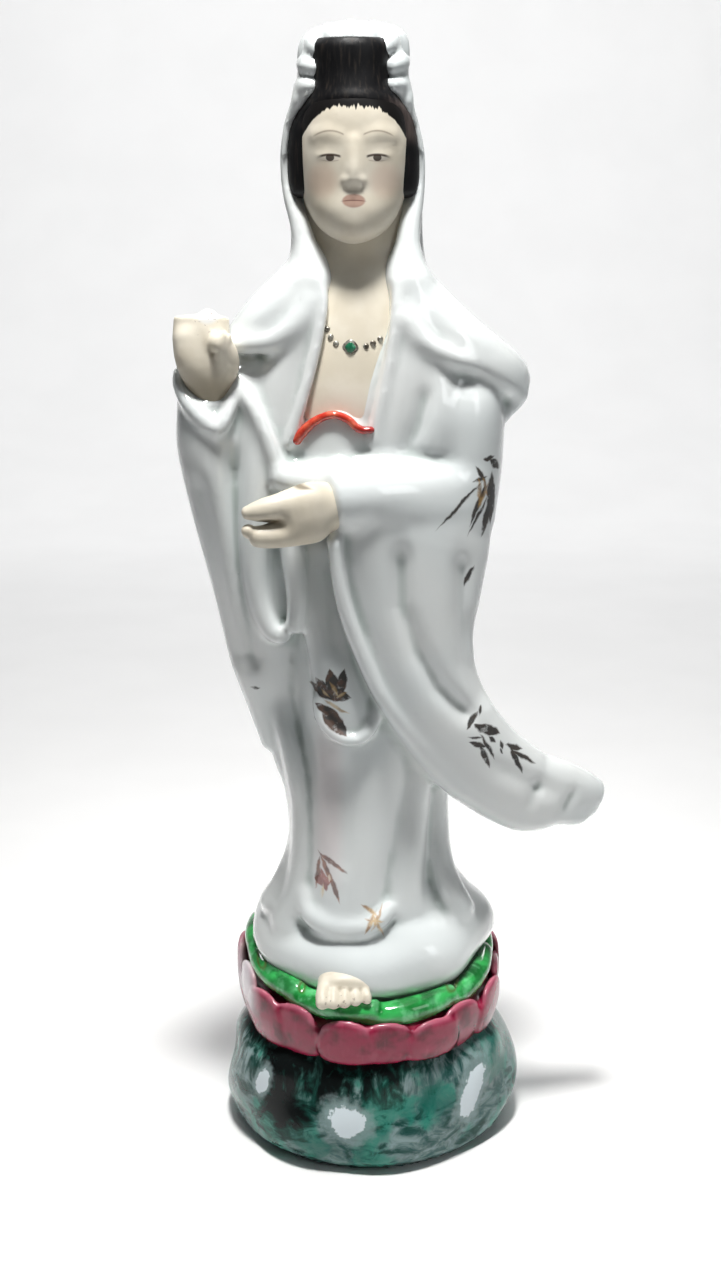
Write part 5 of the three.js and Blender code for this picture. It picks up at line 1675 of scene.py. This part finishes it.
def facePaint(paint, colour):
    # blush, brows, lids, eyes, lips and the brushed edge of the hair
    eyes, mouth = head["eyes"], head["mouth"]
    x = paint.x - head["x"]
    side = abs(x)
    z = paint.z
    front = paint.y.ramp(head["y"] - 4, head["y"] - 6)

    def laid(strength, share, name):
        return paint.mix(share * strength, colour, faceLook[name])

    def line(middle, level, bend, start, stop, width, soft):
        # a thin arc above or below a middle, from start to stop beside the nose
        arc = level - (side - middle) * (side - middle) * bend
        reachAlong = side.ramp(start, start + 0.6) * side.ramp(stop, stop - 1.6)
        return ((width - abs(z - arc)) / soft).math("ADD", 0.5, clamp=True) * reachAlong * front

    cheek = ovalShare(side - 7, z - head["nose"], 4.545, 5)
    colour = laid(0.3, cheek.ramp(1.0, 0.0) * front, "blushAndPaintedReflection")
    spiky = paint.noise(0.55, detail=1, stretch=(1, 0.03, 0.03)) * 3.4
    hairline = 210.6 - x ** 2 * 0.006 - x ** 4 * 0.0003 + (spiky - 1.2) * side.ramp(9, 3, 0.15, 1.0)
    colour = laid(1, (z - hairline).ramp(-0.15, 0.25), "fringe")
    white = ovalShare(side - 5.3, z - (eyes - 0.35), 2.3, 0.7).ramp(1.1, 0.7)
    colour = laid(0.5, white * front, "white")
    iris = ovalShare(side - 5.2, z - (eyes - 0.25), 0.95, 0.8).ramp(1.1, 0.8)
    colour = laid(0.9, iris * front * z.ramp(eyes + 0.5, eyes + 0.2), "iris")
    colour = laid(0.92, line(5.2, eyes + 0.35, 0.07, 2.6, 8.4, 0.26, 0.25), "lid")
    colour = laid(0.45, line(5.2, eyes - 1.0, -0.05, 3.0, 7.8, 0.08, 0.25), "under")
    colour = laid(0.6, line(5.2, eyes + 5.4, 0.085, 1.9, 9.4, 0.17, 0.3), "brow")
    lips = ovalShare(side, z - mouth + 0.05, 2.7, 1.55).ramp(1.1, 0.65)
    colour = laid(0.65, lips * front, "lips")
    colour = laid(0.8, line(0, mouth + 0.05, 0.03, -0.7, 3.2, 0.1, 0.2), "parting")
    return colour


hairLook = {
    "strands": ((0.006, 0.006, 0.007), (0.03, 0.024, 0.02)),
    "thin": (0.09, 0.07, 0.065),
}


def hairPaint():
    paint = Paint("blackEnamel")
    strands = paint.noise(1.1, detail=3, stretch=(1.6, 1.6, 0.18))
    colour = paint.mix(strands.ramp(0.5, 0.8), *hairLook["strands"])
    thin = paint.x.ramp(1, 6) * paint.z.ramp(214, 211) * paint.z.ramp(202, 206)
    colour = paint.mix(thin * strands.ramp(0.3, 0.6, 0.35, 0.8), colour, hairLook["thin"])
    bump = (strands, 0.2, 0.2)
    return paint.finish(colour, strands.ramp(0.3, 0.7, 0.42, 0.55), bump, Specular_IOR_Level=0.25)


dress(skin("head", headShapes(), head["grain"], soft=2), skinPaint("facePaint", face=True))
chestParts = chestShapes()
skinMaterial = skinPaint("bisqueSkin")
dress(skin("neckAndChest", chestParts, head["chestGrain"]), skinMaterial)
dress(skin("hair", [hairShape()], head["hairGrain"]), hairPaint())
print("head built")

# Necklace

necklace = {
    "beads": [(-9.8, 162.8), (-9, 161.1), (-7.8, 159.7), (-1.1, 159.1), (0.5, 159.7), (2.1, 160.6)],
    "beadRadius": 0.74,
    "pendant": (-4.6, 158.9),
    "pendantHalf": 1.65,
    "pendantDeep": 0.6,
    "stoneShare": 0.66,  # of the pendant's width
    "stoneDeep": 0.5,
    "stoneRise": 0.4,
    "turn": 40,  # degrees, so that the pendant stands on its corner
    "metal": ((0.09, 0.075, 0.055), (0.46, 0.45, 0.40)),
    "stone": ((0.006, 0.10, 0.045), (0.03, 0.24, 0.12)),
}


def dome(x, y, z, radius, deep=0.7, sides=16, rings=6):
    points, facets = [], []
    for i in range(rings + 1):
        tilt = math.pi * i / rings
        for k in range(sides):
            turn = 2 * math.pi * k / sides
            points.append([
                x + radius * math.sin(tilt) * math.cos(turn),
                y - radius * deep * math.cos(tilt),
                z + radius * math.sin(tilt) * math.sin(turn),
            ])
    for i in range(rings):
        for k in range(sides):
            a, b = i * sides + k, i * sides + (k + 1) % sides
            facets.append([a, b, b + sides, a + sides])
    return points, facets


def cushion(x, y, z, half, deep):
    # a rounded square stone
    power = 3.2  # 2 is a round stone and more is squarer
    points, facets = dome(0, 0, 0, 1, 1, sides=32, rings=10)
    tilt = math.radians(necklace["turn"])
    shaped = []
    for px, py, pz in points:
        size = (abs(px) ** power + abs(pz) ** power) ** (1 / power)
        stretch = math.hypot(px, pz) / size if size > 1e-9 else 1
        qx, qz = px * stretch, pz * stretch
        rx = qx * math.cos(tilt) - qz * math.sin(tilt)
        rz = qx * math.sin(tilt) + qz * math.cos(tilt)
        shaped.append([x + rx * half, y + py * deep, z + rz * half])
    return shaped, facets


def joined(parts):
    points, facets = [], []
    for some, faces in parts:
        start = len(points)
        points += some
        facets += [[corner + start for corner in face] for face in faces]
    return np.array(points) + (0, 0, standHeight), np.array(facets)


def metalPaint():
    paint = Paint("silverDots")
    worn = paint.noise(1.2, detail=3)
    colour = paint.mix(worn.ramp(0.35, 0.65), *necklace["metal"])
    return paint.finish(colour, 0.3, (worn, 0.1, 0.5), Metallic=0.5)


def jewelPaint():
    paint = Paint("greenDrop")
    depth = paint.noise(1.5, detail=2)
    colour = paint.mix(depth.ramp(0.3, 0.7), *necklace["stone"])
    return paint.finish(colour, 0.08, Coat_Weight=0.8, Coat_Roughness=0.03)


def makeNecklace():
    size = necklace
    beads = [dome(x, frontOf(chestParts, x, z), z, size["beadRadius"]) for x, z in size["beads"]]
    x, z = size["pendant"]
    y = frontOf(chestParts, x, z)
    half = size["pendantHalf"]
    setting = cushion(x, y, z, half, size["pendantDeep"])
    stone = cushion(x, y - size["stoneRise"], z, half * size["stoneShare"], size["stoneDeep"])
    dress(makeMesh("necklace", *joined([*beads, setting])), metalPaint())
    dress(makeMesh("pendantStone", *joined([stone])), jewelPaint())


makeNecklace()
print("necklace built")

# Hands and foot

hands = {"grain": 0.42, "toes": 5}


def raisedHand():
    palm = [
        [-35, -9.4, 136, 3.6, 3.6],
        [-35.4, -11.2, 142.6, 4, 4],
        [-36.4, -12.6, 148.6, 4.3, 4.4],
        [-37.6, -13.8, 155, 6, 4.6],
        [-38.2, -13.8, 162, 6.4, 4],
        [-38.2, -13.4, 166.2, 6.2, 3.2],
    ]
    heel = [[-38.6, -14, 149.6, 1.4], [-41.2, -16, 156, 2.4], [-41.8, -15.4, 163, 2.2]]
    thumb = [
        [-34.4, -13, 149, 2.2],
        [-32.4, -15.8, 155.4, 2.8],
        [-33.6, -18, 160, 2.4],
        [-36.4, -18.2, 160, 1.8],
    ]
    stump = [[-36.8, -13.4, 164, 2.4], [-36.6, -13.2, 166.6, 2]]
    return [
        roll(palm, startRound=2, endRound=1),
        limb(heel, melt=2.4),
        limb(thumb, melt=1.6),
        limb(stump, front=(1, 0, 0)),
    ]


def loweredHand():
    palm = [
        [-3, -20.6, 124.6, 4.6, 4],
        [-9.6, -24, 124.2, 5.8, 4.6],
        [-14.4, -27, 123.4, 6.6, 4.8],
        [-20.6, -29.2, 122, 5, 3.4],
    ]
    upperFinger = [
        [-10, -26.4, 127, 3.2],
        [-19, -29.4, 125.6, 3],
        [-24.6, -30.6, 124.6, 2.5],
        [-28.8, -31.2, 124, 1.1],
    ]
    lowerFinger = [
        [-10, -26, 120.4, 3.2],
        [-19, -29, 119, 3],
        [-24, -30.4, 118.6, 2.6],
        [-27.2, -31, 119, 2.1],
    ]
    fingertip = [[-27.2, -31, 119.4, 1.9], [-27.6, -31.2, 121.2, 1.2]]
    return [
        roll(palm, startRound=2, endRound=3),
        *[limb(stops, melt=1.6) for stops in (upperFinger, lowerFinger)],
        limb(fingertip, melt=0.6, front=(0, -1, 0)),
    ]


def bareFoot():
    sole = [
        [-6.2, -20, 7.6, 5.8, 4.8],
        [-6.2, -25.6, 7.2, 6.5, 4.2],
        [-6.2, -29.4, 5.8, 6.3, 3.2],
    ]
    shapes = [roll(sole, startRound=3, endRound=2, front=(0, 0, 1))]
    for i in range(hands["toes"]):
        share = i / (hands["toes"] - 1)
        x = -11.4 + 10.6 * share
        tip = -33.6 + 3 * share * share
        radius = 1.7 - 0.5 * share
        stops = [
            [x * 0.8 - 1.4, -26.2, 8.3 - 0.8 * share, radius * 0.8],
            [x, -30.4, 6.5 - 0.9 * share, radius],
            [x, tip, 4 - 0.2 * share, radius * 0.9],
        ]
        shapes.append(limb(stops, melt=0.9, front=(0, 0, 1)))
    return shapes


for pieceName, shapes in (("raisedHand", raisedHand()), ("loweredHand", loweredHand()), ("foot", bareFoot())):
    dress(skin(pieceName, shapes, hands["grain"], soft=2), skinMaterial)
print("hands and foot built")

# Floor


def makeFloor():
    # a sheet of pale paper that curves up behind the figure
    line = [(cove["front"], 0)]
    for i in range(cove["steps"] + 1):
        bend = math.pi / 2 * i / cove["steps"]
        line.append((cove["bend"] + cove["radius"] * math.sin(bend), cove["radius"] * (1 - math.cos(bend))))
    line.append((line[-1][0], cove["height"]))
    side = cove["halfWidth"]
    corners = np.array([[x, y, z] for y, z in line for x in (-side, side)], float)
    facets = np.array([[2 * i, 2 * i + 1, 2 * i + 3, 2 * i + 2] for i in range(len(line) - 1)])
    floor = makeMesh("floor", corners, facets)
    paint = Paint("palePaper")
    grain = paint.noise(60, detail=2)
    colour = paint.mix(grain.ramp(0.3, 0.7), *cove["paper"])
    floor.data.materials.append(paint.finish(colour, 0.8))


makeFloor()
